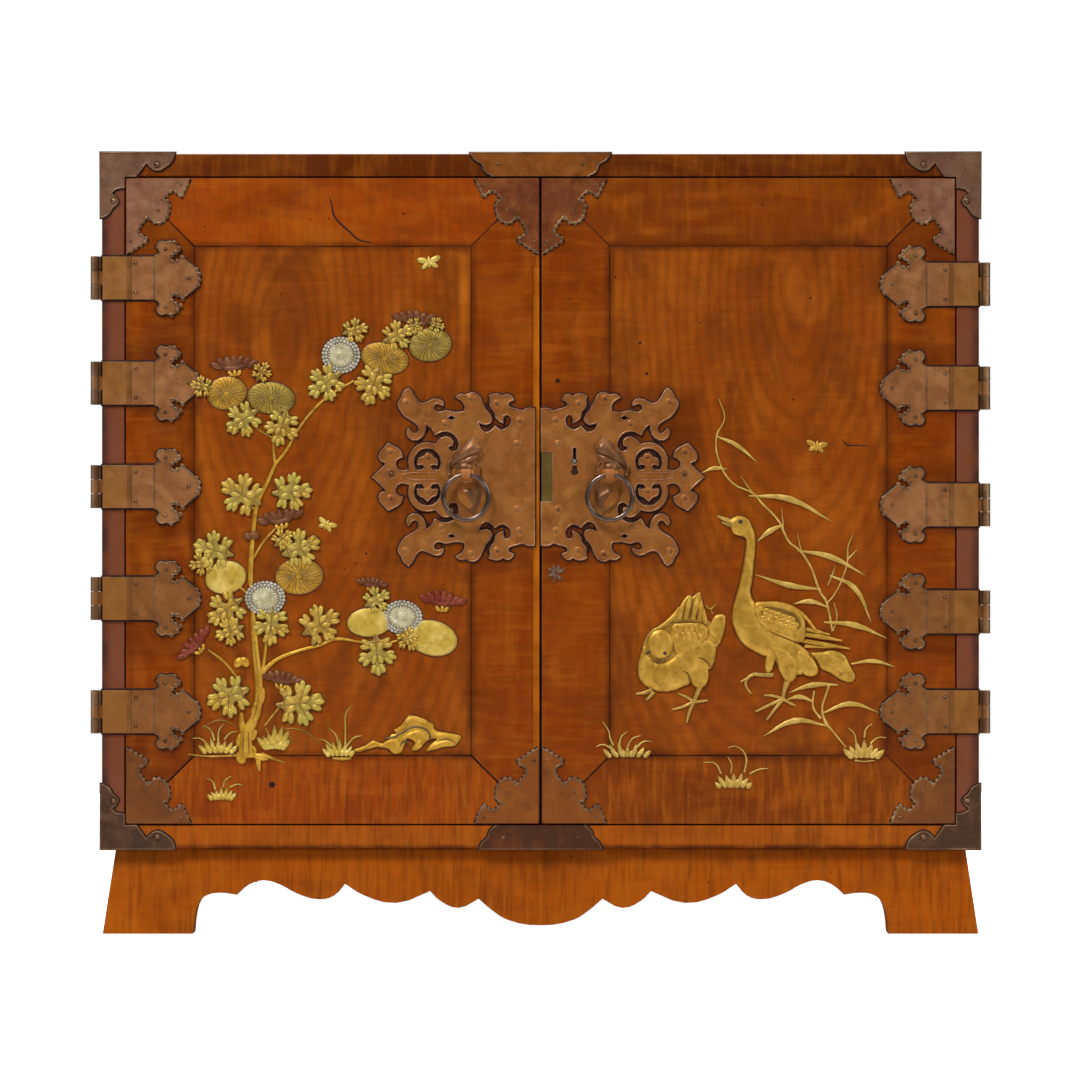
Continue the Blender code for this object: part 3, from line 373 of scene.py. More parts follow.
def lacquered_wood(name: str, slot: str, grain: Grain, ground: str, curl: float, cloud: float,
                   zones: tuple[Zone, ...] = (), heart: Triple | None = None) -> Finish:
    """Curly hardwood under rubbed amber lacquer: fibres, bands across them, soft clouds and dark spots.

    Args:
        name: the material's name.
        slot: the record's material slot.
        grain: the way the board's grain runs.
        ground: the main colour.
        curl: how strongly the bands across the grain show.
        cloud: how strongly the soft clouds show.
        zones: rectangles of another colour.
        heart: middle of the growth rings on the board's face, or none.

    Returns:
        The finish.
    """
    layers = [
        Layer("#562708", along(grain, 130 * MM, 60 * MM), 0.44, 0.7, 0.7 * cloud, twist=1.0),
        Layer("#a85a12", along(grain, 95 * MM, 40 * MM), 0.46, 0.72, 0.6 * cloud, twist=1.2),
        Layer("#5a2a0a", along(grain, 34 * MM, 24 * MM), 0.52, 0.72, 0.4 * cloud, twist=0.8, detail=5.0),
        Layer("#542406", along(grain, 3.4 * MM, 45 * MM), 0.46, 0.72, 0.9 * curl, twist=0.5, detail=1.0),
        Layer("#a85c10", along(grain, 6 * MM, 38 * MM), 0.48, 0.72, 0.8 * curl, twist=0.5, detail=1.0),
        Layer("#4a1f06", along(grain, 70 * MM, 2.4 * MM), 0.5, 0.75, 0.15, twist=0.3),
        Layer("#230d04", along(grain, 6 * MM, 5 * MM), 0.75, 0.83, 0.6, detail=1.0),
    ]
    if heart:
        layers.insert(3, Layer("#572808", (34 * MM, 1.0, 90 * MM), 0.35, 0.95, 0.26, twist=4.0, heart=heart))
    return Finish(name, ground, tuple(layers), slot, roughness=(0.3, 0.46), specular=0.08, grit=0.12 * MM,
                  grit_size=along(grain, 60 * MM, 1.5 * MM), zones=zones)


def patinated(name: str, ground: str, bright: str, stain: str, metallic: float = 0.5,
              zones: tuple[Zone, ...] = (), slot: str = "copper") -> Finish:
    """Hammered copper sheet gone brown: cloudy, with brighter rubbed patches and dark specks of dirt.

    Args:
        name: the material's name.
        ground: the main colour.
        bright: colour where it is rubbed.
        stain: colour of the dirt.
        metallic: share of bare metal.
        zones: rectangles of another colour.
        slot: the record's material slot.

    Returns:
        The finish.
    """
    layers = (
        Layer(bright, (24 * MM,) * 3, 0.44, 0.66, 0.6, twist=0.8),
        Layer(stain, (15 * MM,) * 3, 0.52, 0.74, 0.4, detail=5.0),
        Layer(bright, (3.5 * MM,) * 3, 0.56, 0.72, 0.4),
        Layer(stain, (2 * MM,) * 3, 0.66, 0.76, 0.45, detail=1.0),
    )
    return Finish(name, ground, layers, slot, metallic=metallic, roughness=(0.36, 0.56), rough_size=12 * MM,
                  grit=0.25 * MM, grit_size=(5 * MM,) * 3, zones=zones)


def dusted(name: str, ground: str, bright: str, low: str, rise: Point, metallic: float = 0.55) -> Finish:
    """Metal powder dusted over built-up lacquer: satin, and darker towards its ground, painted shade in its
    hollows with the lacquer showing there.

    Args:
        name: the material's name.
        ground: the main colour.
        bright: colour on the rubbed tops.
        low: colour of the hollows, painted shade with the lacquer showing, and of small patches.
        rise: depth coordinate of the ground and of the tops.
        metallic: share of bare metal.

    Returns:
        The finish.
    """
    layers = (
        Layer(bright, (14 * MM,) * 3, 0.42, 0.68, 0.7, twist=0.5),
        Layer(low, (5 * MM,) * 3, 0.56, 0.74, 0.5),
    )
    return Finish(name, ground, layers, "door_wood", metallic=metallic, roughness=(0.36, 0.55),
                  rough_size=8 * MM, grit=0.2 * MM, grit_size=(1.5 * MM,) * 3, low_colour=low, rise=rise)


def dress_node(node: Object, finish: Finish, edge: Finish, width: float) -> None:
    """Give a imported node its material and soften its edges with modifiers.

    Args:
        node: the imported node's object.
        finish: its surface.
        edge: the surface of its softened edges.
        width: how wide those are.
    """
    node.material_slots[0].material = finish.material()
    node.data.materials.append(edge.material())
    weld = node.modifiers.new("weld", "WELD")
    weld.merge_threshold = WELD
    bevel = node.modifiers.new("soft_edges", "BEVEL")
    bevel.width = width
    bevel.segments = 2
    bevel.limit_method = "ANGLE"
    bevel.angle_limit = EDGE_ANGLE
    bevel.material = 1
    LOG.info("%s in %s", node.name, finish.name)


def settle(made: Object, finish: Finish, body: str) -> None:
    """Dress a new piece and let it ride on its body.

    Args:
        made: the piece.
        finish: its surface.
        body: the body.
    """
    made.data.materials.append(finish.material())
    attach(made, body)
    LOG.info("%s on %s: %d faces", made.name, body, len(made.data.polygons))


# Modelling


class Bench:
    """Operator work on one piece at a time."""

    @staticmethod
    def clear() -> None:
        """Leave edit mode and deselect everything."""
        if bpy.context.object and bpy.context.object.mode != "OBJECT":
            bpy.ops.object.mode_set(mode="OBJECT")
        bpy.ops.object.select_all(action="DESELECT")

    @staticmethod
    def pick(piece: Object, test: Callable[[Vector], bool]) -> None:
        """Select the vertices whose place passes a test.

        Args:
            piece: the object that is in edit mode.
            test: says whether a vertex at that place is taken.
        """
        bpy.ops.mesh.select_all(action="DESELECT")
        mesh = bmesh.from_edit_mesh(piece.data)
        for vertex in mesh.verts:
            vertex.select_set(test(vertex.co))
        mesh.select_flush(True)
        bmesh.update_edit_mesh(piece.data)

    @staticmethod
    def take(piece: Object) -> Mesh:
        """Keep a modelled piece's mesh as stock to copy, and remove its object.

        Args:
            piece: the object that was modelled.

        Returns:
            Its mesh.
        """
        Bench.clear()
        mesh = piece.data
        mesh.use_fake_user = True
        bpy.data.objects.remove(piece)
        return mesh


class Stock(Enum):
    """Shapes that are modelled once and copied."""

    ROUND = "round"
    POINTED = "pointed"
    SWELLING = "swelling"
    NAIL = "nail"


class Shop:
    """Models the stock shapes, each one unit long to either side, with its front towards -y."""

    # How deep a half ball goes into its ground, and where it narrows towards its tip.
    BURIED = 0.15
    NARROWING = (0.3, 0.75)
    # Radius and height of a nail's dome, depth of the rim round it, and how near the rim its edge is.
    DOME = 0.8
    DOME_HEIGHT = 0.55
    RIM = 0.2
    NEAR = 0.01

    def __init__(self) -> None:
        """Model every shape of the stock."""
        self.meshes: dict[Stock, Mesh] = {
            Stock.ROUND: self._half_ball(10, 8, 1.0),
            Stock.POINTED: self._half_ball(8, 6, 0.5),
            Stock.SWELLING: self._half_ball(28, 18, 1.0),
            Stock.NAIL: self._nail(),
        }

    def copy(self, stock: Stock, frame: Matrix) -> Mesh:
        """Copy a shape to its place.

        Args:
            stock: which shape.
            frame: its place, way and size.

        Returns:
            A mesh of its own.
        """
        mesh = self.meshes[stock].copy()
        mesh.transform(frame)
        return mesh

    def _half_ball(self, segments: int, rings: int, tip: float) -> Mesh:
        """Model half a ball that lies on a face.

        Args:
            segments: faces round its length.
            rings: faces along its length.
            tip: width left near the far end, as a share.

        Returns:
            The mesh, with its length along z.
        """
        Bench.clear()
        bpy.ops.mesh.primitive_uv_sphere_add(segments=segments, ring_count=rings, radius=1.0)
        ball = bpy.context.object
        bpy.ops.object.shade_smooth()
        bpy.ops.object.mode_set(mode="EDIT")
        bpy.ops.mesh.select_all(action="SELECT")
        bpy.ops.mesh.bisect(plane_co=(0, self.BURIED, 0), plane_no=(0, 1, 0), use_fill=True,
                            clear_outer=True)
        for start, share in zip(self.NARROWING, (0.5 + 0.5 * tip, tip)):
            Bench.pick(ball, lambda place, start=start: place.z > start)
            bpy.ops.transform.resize(value=(share, share, 1), center_override=(0, 0, 0))
        return Bench.take(ball)

    def _nail(self) -> Mesh:
        """Model a domed nail head with a thin rim.

        Returns:
            The mesh, one unit in radius, with its head towards -y.
        """
        Bench.clear()
        bpy.ops.mesh.primitive_uv_sphere_add(segments=12, ring_count=8, radius=1.0,
                                             rotation=(math.pi / 2, 0, 0))
        head = bpy.context.object
        bpy.ops.object.transform_apply(location=False, rotation=True, scale=False)
        bpy.ops.object.shade_smooth()
        bpy.ops.object.mode_set(mode="EDIT")
        bpy.ops.mesh.select_all(action="SELECT")
        bpy.ops.mesh.bisect(plane_co=(0, 0, 0), plane_no=(0, 1, 0), use_fill=False, clear_outer=True)
        bpy.ops.mesh.select_all(action="SELECT")
        bpy.ops.transform.resize(value=(self.DOME, self.DOME_HEIGHT, self.DOME), center_override=(0, 0, 0))
        Bench.pick(head, lambda place: place.y > -self.NEAR)
        bpy.ops.mesh.extrude_region_move()
        bpy.ops.transform.resize(value=(1 / self.DOME, 1, 1 / self.DOME), center_override=(0, 0, 0))
        bpy.ops.mesh.extrude_region_move(TRANSFORM_OT_translate={"value": (0, self.RIM, 0)})
        bpy.ops.mesh.edge_face_add()
        bpy.ops.mesh.select_all(action="SELECT")
        bpy.ops.mesh.normals_make_consistent(inside=False)
        return Bench.take(head)


def heading(turn: float) -> Vector:
    """Unit vector on a door's face, so many degrees anticlockwise from the right."""
    return Vector((math.cos(math.radians(turn)), 0, math.sin(math.radians(turn))))


def beside(start: Point, step: Vector) -> Point:
    """Pixel at the end of a step from another pixel."""
    return start[0] + step.x, start[1] - step.z


@dataclass(frozen=True)
class DoorFace:
    """A door's front, with places on it given as pixels of the photograph.

    Attributes:
        left: x of the door's left edge.
        right: x of its right edge.
        low: z of its lower edge.
        high: z of its upper edge.
        front: y of the surface that carries the work.
        left_px: pixel column of the left edge.
        right_px: pixel column of the right edge.
        low_px: pixel row of the lower edge.
        high_px: pixel row of the upper edge.
    """

    left: float
    right: float
    low: float
    high: float
    front: float
    left_px: float
    right_px: float
    low_px: float = 828.0
    high_px: float = 178.0

    @property
    def unit(self) -> float:
        """Size of a pixel on the door, in metres."""
        return (self.high - self.low) / (self.low_px - self.high_px)

    def at(self, column: float, row: float) -> Vector:
        """Place of a pixel on the door.

        Args:
            column: pixels from the picture's left.
            row: pixels from its top.

        Returns:
            The point on the door's front.
        """
        across = (column - self.left_px) / (self.right_px - self.left_px)
        down = (row - self.high_px) / (self.low_px - self.high_px)
        return Vector((self.left + across * (self.right - self.left), self.front,
                       self.high - down * (self.high - self.low)))


@dataclass
class Relief:
    """Raised work on one surface, gathered under the names of its pieces.

    Attributes:
        front: depth of the surface that carries it.
        shop: the stock shapes.
        flatness: height of its lines, as a share of their half width.
        heaps: what is gathered for each piece.
        lines: the lines that are drawn for each piece.
    """

    # Size of a cushion's faces, how deep its walls go into the surface, and the gap that closes a line.
    MESH = 1.2 * MM
    SUNK = 0.2 * MM
    CLOSED = 0.1 * MM
    front: float
    shop: Shop
    flatness: float = 0.6
    heaps: dict[str, BMesh] = field(default_factory=dict)
    lines: dict[str, Curve] = field(default_factory=dict)

    def gather(self, heap: str, mesh: Mesh) -> None:
        """Add a mesh to a heap.

        Args:
            heap: the piece that it goes to.
            mesh: what is added, and then removed.
        """
        if heap not in self.heaps:
            self.heaps[heap] = bmesh.new()
        self.heaps[heap].from_mesh(mesh)
        bpy.data.meshes.remove(mesh)

    def lump(self, heap: str, stock: Stock, middle: Vector, turn: float, size: Triple, lift: float = 0.0,
             tilt: float = 0.0) -> None:
        """Lay a stock shape on the surface.

        Args:
            heap: the piece that it goes to.
            stock: which shape.
            middle: its middle on the surface.
            turn: the way its length points, in degrees from the right, anticlockwise.
            size: length, width and height, in metres.
            lift: how far it stands off the surface.
            tilt: how much higher its far end is than its middle.
        """
        length, width, height = size
        way = heading(turn)
        ahead = way * length / 2
        ahead.y -= tilt
        aside = Vector((way.z, 0, -way.x)) * width / 2
        place = middle - Vector((0, lift, 0))
        frame = Matrix((
            (aside.x, 0, ahead.x, place.x),
            (aside.y, height, ahead.y, place.y),
            (aside.z, 0, ahead.z, place.z),
            (0, 0, 0, 1),
        ))
        self.gather(heap, self.shop.copy(stock, frame))

    def line(self, heap: str, points: Sequence[tuple[Vector, float]], lift: float = 0.0) -> None:
        """Draw a rounded line on the surface.

        Args:
            heap: the piece that it goes to.
            points: places that it passes, each with its radius there.
            lift: how far it stands off the surface.
        """
        spline = self._curve(heap).splines.new("BEZIER")
        spline.bezier_points.add(len(points) - 1)
        for knot, (place, radius) in zip(spline.bezier_points, points):
            knot.co = Vector((place.x, (place.y - self.front - lift) / self.flatness, place.z))
            knot.radius = radius
            knot.handle_left_type = "AUTO"
            knot.handle_right_type = "AUTO"

    def path(self, heap: str, points: Sequence[tuple[Vector, float]]) -> None:
        """Draw a rounded line that goes straight from point to point.

        Args:
            heap: the piece that it goes to.
            points: places that it passes, each with its radius there.
        """
        closed = (points[0][0] - points[-1][0]).length < self.CLOSED
        knots = points[:-1] if closed else points
        spline = self._curve(heap).splines.new("POLY")
        spline.points.add(len(knots) - 1)
        spline.use_cyclic_u = closed
        for knot, (place, radius) in zip(spline.points, knots):
            knot.co = (place.x, (place.y - self.front) / self.flatness, place.z, 1.0)
            knot.radius = radius

    def cushion(self, heap: str, outline: list[Vector], height: float, reach: float, lift: float) -> None:
        """Raise a smooth cushion inside an outline, as lacquer stands when it is built up.

        Args:
            heap: the piece that it goes to.
            outline: points that a smooth closed line passes.
            height: how far its middle rises over its edge.
            reach: how far in from the edge it goes on rising.
            lift: how far its edge stands off the surface.
        """
        turned = [outline[step:] + outline[:step] for step in (-1, 0, 1, 2)]
        edge = []
        for before, start, stop, after in zip(*turned):
            handles = start + (stop - before) / 6, stop - (after - start) / 6
            count = 2 + int((stop - start).length / self.MESH)
            edge += interpolate_bezier(start, *handles, stop, count)[:-1]
        if sum((b.x - a.x) * (b.z + a.z) for a, b in zip(edge, edge[1:] + edge[:1])) > 0:
            edge.reverse()
        tree = KDTree(len(edge))
        for index, point in enumerate(edge):
            tree.insert((point.x, 0, point.z), index)
        tree.balance()
        spots = [point.xz for point in edge]
        low, high = (Vector((pick(p.x for p in edge), pick(p.z for p in edge))) for pick in (min, max))
        for row in range(int((high.y - low.y) / self.MESH)):
            for column in range(int((high.x - low.x) / self.MESH)):
                spot = low + Vector((column + 0.5 * (row % 2), row)) * self.MESH
                if tree.find((spot.x, 0, spot.y))[2] > 0.6 * self.MESH:
                    spots.append(spot)
        net = delaunay_2d_cdt(spots, [], [list(range(len(edge)))], 1, 0.001 * MM)
        points = []
        for spot in net[0]:
            inward = min(1.0, tree.find((spot.x, 0, spot.y))[2] / reach)
            rise = lift + height * math.sqrt(1 - (1 - inward) ** 2)
            points.append(Vector((spot.x, self.front - rise, spot.y)))
        self.facets(heap, points, net[2], True)

    def facets(self, heap: str, points: Sequence[Vector], faces: Sequence[Sequence[int]],
               smooth: bool = False) -> None:
        """Raise planes that meet in folds, with walls down to the surface.

        Args:
            heap: the piece that they go to.
            points: corners of the planes.
            faces: the corners of each plane, by number.
            smooth: whether the folds are soft.
        """
        solid = bmesh.new()
        corners = [solid.verts.new(point) for point in points]
        for face in faces:
            solid.faces.new([corners[number] for number in face]).smooth = smooth
        loose = [corner for corner in corners if not corner.link_faces]
        bmesh.ops.delete(solid, geom=loose, context="VERTS")
        walls = bmesh.ops.extrude_face_region(solid, geom=solid.faces[:])
        for corner in walls["geom"]:
            if isinstance(corner, BMVert):
                corner.co.y = self.front + self.SUNK
        bmesh.ops.recalc_face_normals(solid, faces=solid.faces[:])
        mesh = bpy.data.meshes.new(heap)
        solid.to_mesh(mesh)
        solid.free()
        self.gather(heap, mesh)

    def _curve(self, heap: str) -> Curve:
        """Find a heap's curve, or start it.

        Args:
            heap: the piece that it goes to.

        Returns:
            The curve, whose points carry their radius in metres.
        """
        if heap not in self.lines:
            curve = bpy.data.curves.new(heap, "CURVE")
            curve.dimensions = "3D"
            curve.bevel_depth = 1.0
            curve.bevel_resolution = 1
            curve.resolution_u = 4
            curve.use_fill_caps = True
            self.lines[heap] = curve
        return self.lines[heap]

    def piece(self, heap: str, finish: Finish, body: str) -> None:
        """Make a gathered heap one piece.

        Args:
            heap: its name, which the piece takes.
            finish: what it is dressed in.
            body: the body that it rides on.
        """
        gathered = self.heaps.pop(heap, None) or bmesh.new()
        if heap in self.lines:
            Bench.clear()
            drawn = bpy.data.objects.new(heap, self.lines.pop(heap))
            bpy.context.collection.objects.link(drawn)
            drawn.select_set(True)
            bpy.context.view_layer.objects.active = drawn
            bpy.ops.object.convert(target="MESH")
            drawn = bpy.context.object
            flat = Matrix.Translation((0, self.front, 0)) @ Matrix.Diagonal((1, self.flatness, 1, 1))
            drawn.data.transform(flat)
            gathered.from_mesh(drawn.data)
            bpy.data.objects.remove(drawn)
        mesh = bpy.data.meshes.new(heap)
        gathered.to_mesh(mesh)
        gathered.free()
        made = bpy.data.objects.new(heap, mesh)
        bpy.context.collection.objects.link(made)
        settle(made, finish, body)


# Sub-assemblies


@dataclass
class Cabinetwork:
    """The boards of the case, the base and the doors.

    Attributes:
        nodes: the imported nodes.
        arris: width of the rubbed edges of the case and base.
        groove: width of the dark edges that meet in the doors' joint lines.
    """

    # Dirt along the doors' joints, round the lock plates and by each strap; a painted shadow under the case,
    # and painted shade in the quirks beside the bead.
    JOINT = Zone("#3a1503", (213.3 * MM, 444.3 * MM), (142.3 * MM, 261.5 * MM), 8 * MM, 0.65, line=True)
    BY_LOCK = Zone("#4a1d06", (82 * MM, 468 * MM), (72 * MM, 76 * MM), 26 * MM, 0.5)
    BY_STRAP = Zone("#451a05", (394 * MM, 0.0), (40 * MM, 30 * MM), 13 * MM, 0.45)
    STRAP_HEIGHTS = (192, 318, 444, 570, 696)
    # Painted shadow of the gap under the case, along the top of the apron and the foot of the case's bottom
    # board.
    SHADOW = Zone("#2e1103", (0.0, 88.5 * MM), (0.5, 0.5 * MM), 5 * MM, 0.75)
    # Painted shade in the quirks on either side of the left door's bead.
    QUIRK_SHADE = Zone("#3a1503", (0.0, 400 * MM), (8.4 * MM, 285 * MM), 1.1 * MM, 0.6, line=True)
    # Bloom with a painted sheen on the front edges of the case's sides, and painted shade where their
    # rounded arris turns from the light.
    BLOOMED = Zone("#703f2b", (438 * MM, 430 * MM), (20 * MM, 400 * MM), 2 * MM, 0.95)
    DARK_EDGE = Zone("#241618", (452 * MM, 430 * MM), (3 * MM, 400 * MM), 11 * MM, 0.8)
    # Half width, foot and top of the lighter stripes that paint the left door's bead, which taper, in
    # millimetres: rubbed lacquer and a painted highlight where the round bead catches the light.
    BEAD = ((7.5, 115, 610), (6.7, 230, 655), (5.6, 300, 685), (4.4, 370, 700))
    # The same for the rubbed stripe down the left panel, and how far it lies from the middle.
    RUBBED = ((1, 610, 692), (1, 632, 692), (1, 652, 692))
    RUBBED_AT = 78
    # Strength of the curl and of the clouds in the rails.
    RAILS = {"top": (0.2, 0.8), "bottom": (0.5, 0.6)}
    GRIME = Finish("joint_grime", "#240d04", (Layer("#6a2e06", (45 * MM,) * 3, 0.44, 0.6, 0.85),),
                   "door_wood", roughness=(0.6, 0.8), specular=0.1)
    nodes: dict[str, Object]
    arris: float = 1.2 * MM
    groove: float = 0.7 * MM

    def dress(self) -> None:
        """Give every board its lacquer and soften its edges."""
        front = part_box("case_left_side")[0].y
        # Bloom with painted sheen, and painted shade on the arris, only on the sides' front faces.
        edges = tuple(replace(zone, front=front) for zone in (self.BLOOMED, self.BLOOMED, self.DARK_EDGE))
        under = (self.SHADOW,)
        case_top = lacquered_wood("case_top_lacquer", "case_wood", Grain.ACROSS, "#562304", 0.22, 0.5)
        case_bottom = lacquered_wood("case_bottom_lacquer", "case_wood", Grain.ACROSS, "#9c4c0a", 0.45, 0.6,
                                     under)
        case_side = lacquered_wood("case_side_lacquer", "case_wood", Grain.UPRIGHT, "#602a09", 0.2, 0.45,
                                   edges)
        base = lacquered_wood("base_lacquer", "base_wood", Grain.ACROSS, "#9c4a06", 0.46, 0.6, under)
        inside = lacquered_wood("inner_lacquer", "inner_wood", Grain.ACROSS, "#542811", 0.1, 0.22)
        boards = {
            "case_top": case_top, "case_bottom": case_bottom, "case_left_side": case_side,
            "case_right_side": case_side, "case_back": inside, "shelf": inside, "base_front_apron": base,
            "base_sides_and_back": base,
        }
        for name, finish in boards.items():
            dress_node(self.nodes[name], finish, finish, self.arris)
        across = self.BY_STRAP.middle[0]
        by_straps = [replace(self.BY_STRAP, middle=(across, height * MM)) for height in self.STRAP_HEIGHTS]
        stained = (self.JOINT, self.BY_LOCK, *by_straps)
        # The bead is painted: rubbed lacquer and a painted highlight in one lighter colour.
        bead = [self._stripe("#b8680e", 0, *size, 1, 0.26) for size in self.BEAD]
        rubbed = [self._stripe("#c4701a", self.RUBBED_AT, *size, 8, 0.2) for size in self.RUBBED]
        self._dress_door(Side.LEFT, "#903c05", (*stained, *bead, self.QUIRK_SHADE), (*stained, *rubbed),
                         (-262 * MM, 0.0, 610 * MM))
        self._dress_door(Side.RIGHT, "#753305", stained, stained, (262 * MM, 0.0, 655 * MM))

    @staticmethod
    def _stripe(colour: str, at: float, half: float, low: float, high: float, reach: float,
                amount: float) -> Zone:
        """An upright zone from one height to another, with its sizes in millimetres."""
        middle, size = (at * MM, (high + low) / 2 * MM), (half * MM, (high - low) / 2 * MM)
        return Zone(colour, middle, size, reach * MM, amount)

    def _dress_door(self, side: Side, rail_ground: str, stile_zones: tuple[Zone, ...],
                    panel_zones: tuple[Zone, ...], heart: Triple) -> None:
        """Dress one door's boards, with dirt in the joints between them.

        Args:
            side: which door.
            rail_ground: main colour of its rails.
            stile_zones: rectangles of another colour on its stiles.
            panel_zones: the same on its panel.
            heart: middle of the panel's growth rings.
        """
        stile = lacquered_wood(f"{side.value}_stile_lacquer", "door_wood", Grain.UPRIGHT, "#7a3303", 0.25,
                               0.65, stile_zones)
        panel = lacquered_wood(f"{side.value}_panel_lacquer", "door_wood", Grain.UPRIGHT, "#863e09", 0.15,
                               0.85, panel_zones, heart)
        boards = {"hinge_stile": stile, "meeting_stile": stile, "panel": panel}
        for level, (curl, cloud) in self.RAILS.items():
            boards[f"{level}_rail"] = lacquered_wood(f"{side.value}_{level}_rail_lacquer", "door_wood",
                                                     Grain.ACROSS, rail_ground, curl, cloud, (self.JOINT,))
        for name, finish in boards.items():
            dress_node(self.nodes[f"{side.door}_{name}"], finish, self.GRIME, self.groove)


@dataclass
class Mounts:
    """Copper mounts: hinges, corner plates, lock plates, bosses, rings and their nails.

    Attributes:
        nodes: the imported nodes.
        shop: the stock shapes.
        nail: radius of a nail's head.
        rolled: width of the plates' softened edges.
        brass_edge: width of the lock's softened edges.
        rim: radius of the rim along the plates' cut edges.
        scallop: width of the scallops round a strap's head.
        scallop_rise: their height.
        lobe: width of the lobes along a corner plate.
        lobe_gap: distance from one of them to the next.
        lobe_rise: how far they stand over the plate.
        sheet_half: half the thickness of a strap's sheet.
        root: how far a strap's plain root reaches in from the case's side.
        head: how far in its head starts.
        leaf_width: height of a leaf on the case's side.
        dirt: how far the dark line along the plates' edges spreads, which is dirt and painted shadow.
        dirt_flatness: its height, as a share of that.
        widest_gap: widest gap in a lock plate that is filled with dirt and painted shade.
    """

    # How many straps on each door, from its foot, are redder than the rest.
    WARM_STRAPS = 2
    # Colour, distance from the middle, half width, fade and strength of bands down the hinges, the lengths
    # in millimetres: a strap's root, painted shade in its fold, the knuckles, and a painted highlight and
    # painted shade that round their barrels.
    BANDS = (
        ("#94601c", 445, 25, 1, 0.55), ("#5a340e", 421.5, 1.5, 2, 0.6), ("#3a281c", 470, 18, 1, 0.3),
        ("#b49a80", 458.8, 0.5, 2.2, 0.6), ("#24130a", 452, 0.6, 2.6, 0.85),
    )
    BAND_MIDDLE = 444 * MM
    BAND_HALF = 400 * MM
    # How far in and how far up each nail of a strap is, in millimetres.
    STRAP_NAILS = ((35, 15), (35, -15), (65.5, 29.5), (65.5, -29.5), (89.5, 0))
    # Shares of a leaf's depth and width, and of a door's corner plate across and along, where nails are.
    LEAF_NAILS = ((0.45, 0.28), (0.45, -0.28), (0.86, 0.0))
    PLATE_NAILS = ((0.86, 0.08), (0.5, 0.42), (0.07, 0.84))
    CENTRE_NAILS = (0.2, 0.8)
    # How far in from the side and from the end each nail of a case corner is, in millimetres.
    CASE_NAILS = ((57, 13), (12.5, 50))
    PLATE_NAIL = 0.85
    CASE_NAIL = 1.7
    # Depths that count as one face, edges that count as the box's side, and the shortest of those.
    FLUSH = 0.02 * MM
    BESIDE = 0.3 * MM
    SHORTEST = 8 * MM
    nodes: dict[str, Object]
    shop: Shop
    nail: float = 2.1 * MM
    rolled: float = 0.7 * MM
    brass_edge: float = 0.4 * MM
    rim: float = 0.9 * MM
    scallop: float = 4.6 * MM
    scallop_rise: float = 0.8 * MM
    lobe: float = 5.2 * MM
    lobe_gap: float = 5.6 * MM
    lobe_rise: float = 0.5 * MM
    sheet_half: float = 1.0 * MM
    root: float = 34 * MM
    head: float = 71 * MM
    leaf_width: float = 44 * MM
    dirt: float = 2.6 * MM
    dirt_flatness: float = 0.16
    widest_gap: float = 9 * MM

    def __post_init__(self) -> None:
        """Name the finishes."""
        bands = [Zone(colour, (at * MM, self.BAND_MIDDLE), (half * MM, self.BAND_HALF), reach * MM, amount)
                 for colour, at, half, reach, amount in self.BANDS]
        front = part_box("left_hinge_1_leaf")[0].y
        # The barrels' painted highlight and painted shade, on their front faces only.
        painted_barrel_light = tuple(replace(band, front=front) for band in bands[3:])
        strap_zones = (*bands[:3], *painted_barrel_light)
        self.sheet = patinated("patinated_copper", "#8a5a40", "#a07654", "#462c1e")
        self.aged = patinated("aged_copper", "#744d36", "#866449", "#3c2519")
        self.strap = patinated("hinge_copper", "#945c30", "#ab7646", "#4a2b16", zones=strap_zones)
        self.warm_strap = patinated("warm_hinge_copper", "#865020", "#9c6630", "#442412", zones=strap_zones)
        self.leaf = patinated("dark_copper", "#6a4628", "#9c744c", "#2e1e12", 0.7, painted_barrel_light)
        self.worn = patinated("worn_copper", "#824408", "#995812", "#402006")
        self.brown = patinated("brown_copper", "#723c0e", "#864e18", "#381e08")
        self.red = patinated("red_copper", "#733713", "#925320", "#301a0e")
        self.gilt = patinated("gilt_copper", "#834507", "#96550b", "#4e2804")
        self.plate = patinated("gilded_copper", "#965820", "#ac7230", "#563210")
        self.cast = patinated("cast_copper", "#6c4424", "#94663e", "#341e10")
        self.tarnished = patinated("tarnished_copper", "#442a18", "#66452e", "#20140b")
        self.blackened = patinated("blackened_copper", "#482306", "#70380c", "#241104")
        self.bright = patinated("rubbed_copper", "#8a5a38", "#c08c66", "#50331e", 0.7)
        self.silvered = patinated("silvered_copper", "#6c4c32", "#967654", "#3a2416", 0.7)
        ring = patinated("drop_ring_copper", "#6c594d", "#8a766a", "#42342b", 0.95, slot="ring_copper")
        self.ring = replace(ring, roughness=(0.26, 0.34))
        self.brass = patinated("aged_brass", "#5e4814", "#6e5820", "#382a0c", 0.3, slot="lock_brass")
        self.nail_head = patinated("nail_copper", "#5c4028", "#a07c58", "#241509", 0.75)
        # Dirt and painted shade in one dark finish: the line round the plates, the fill of a lock plate's
        # narrow gaps, the keyhole's dark patches, and the cracks and holes.
        self.grime = Finish("mount_grime_and_shade", "#251512", (Layer("#3a231a", (9 * MM,) * 3, 0.45, 0.65, 0.8),),
                            "copper", roughness=(0.6, 0.8), specular=0.1)
        self.nails = Relief(0.0, self.shop)

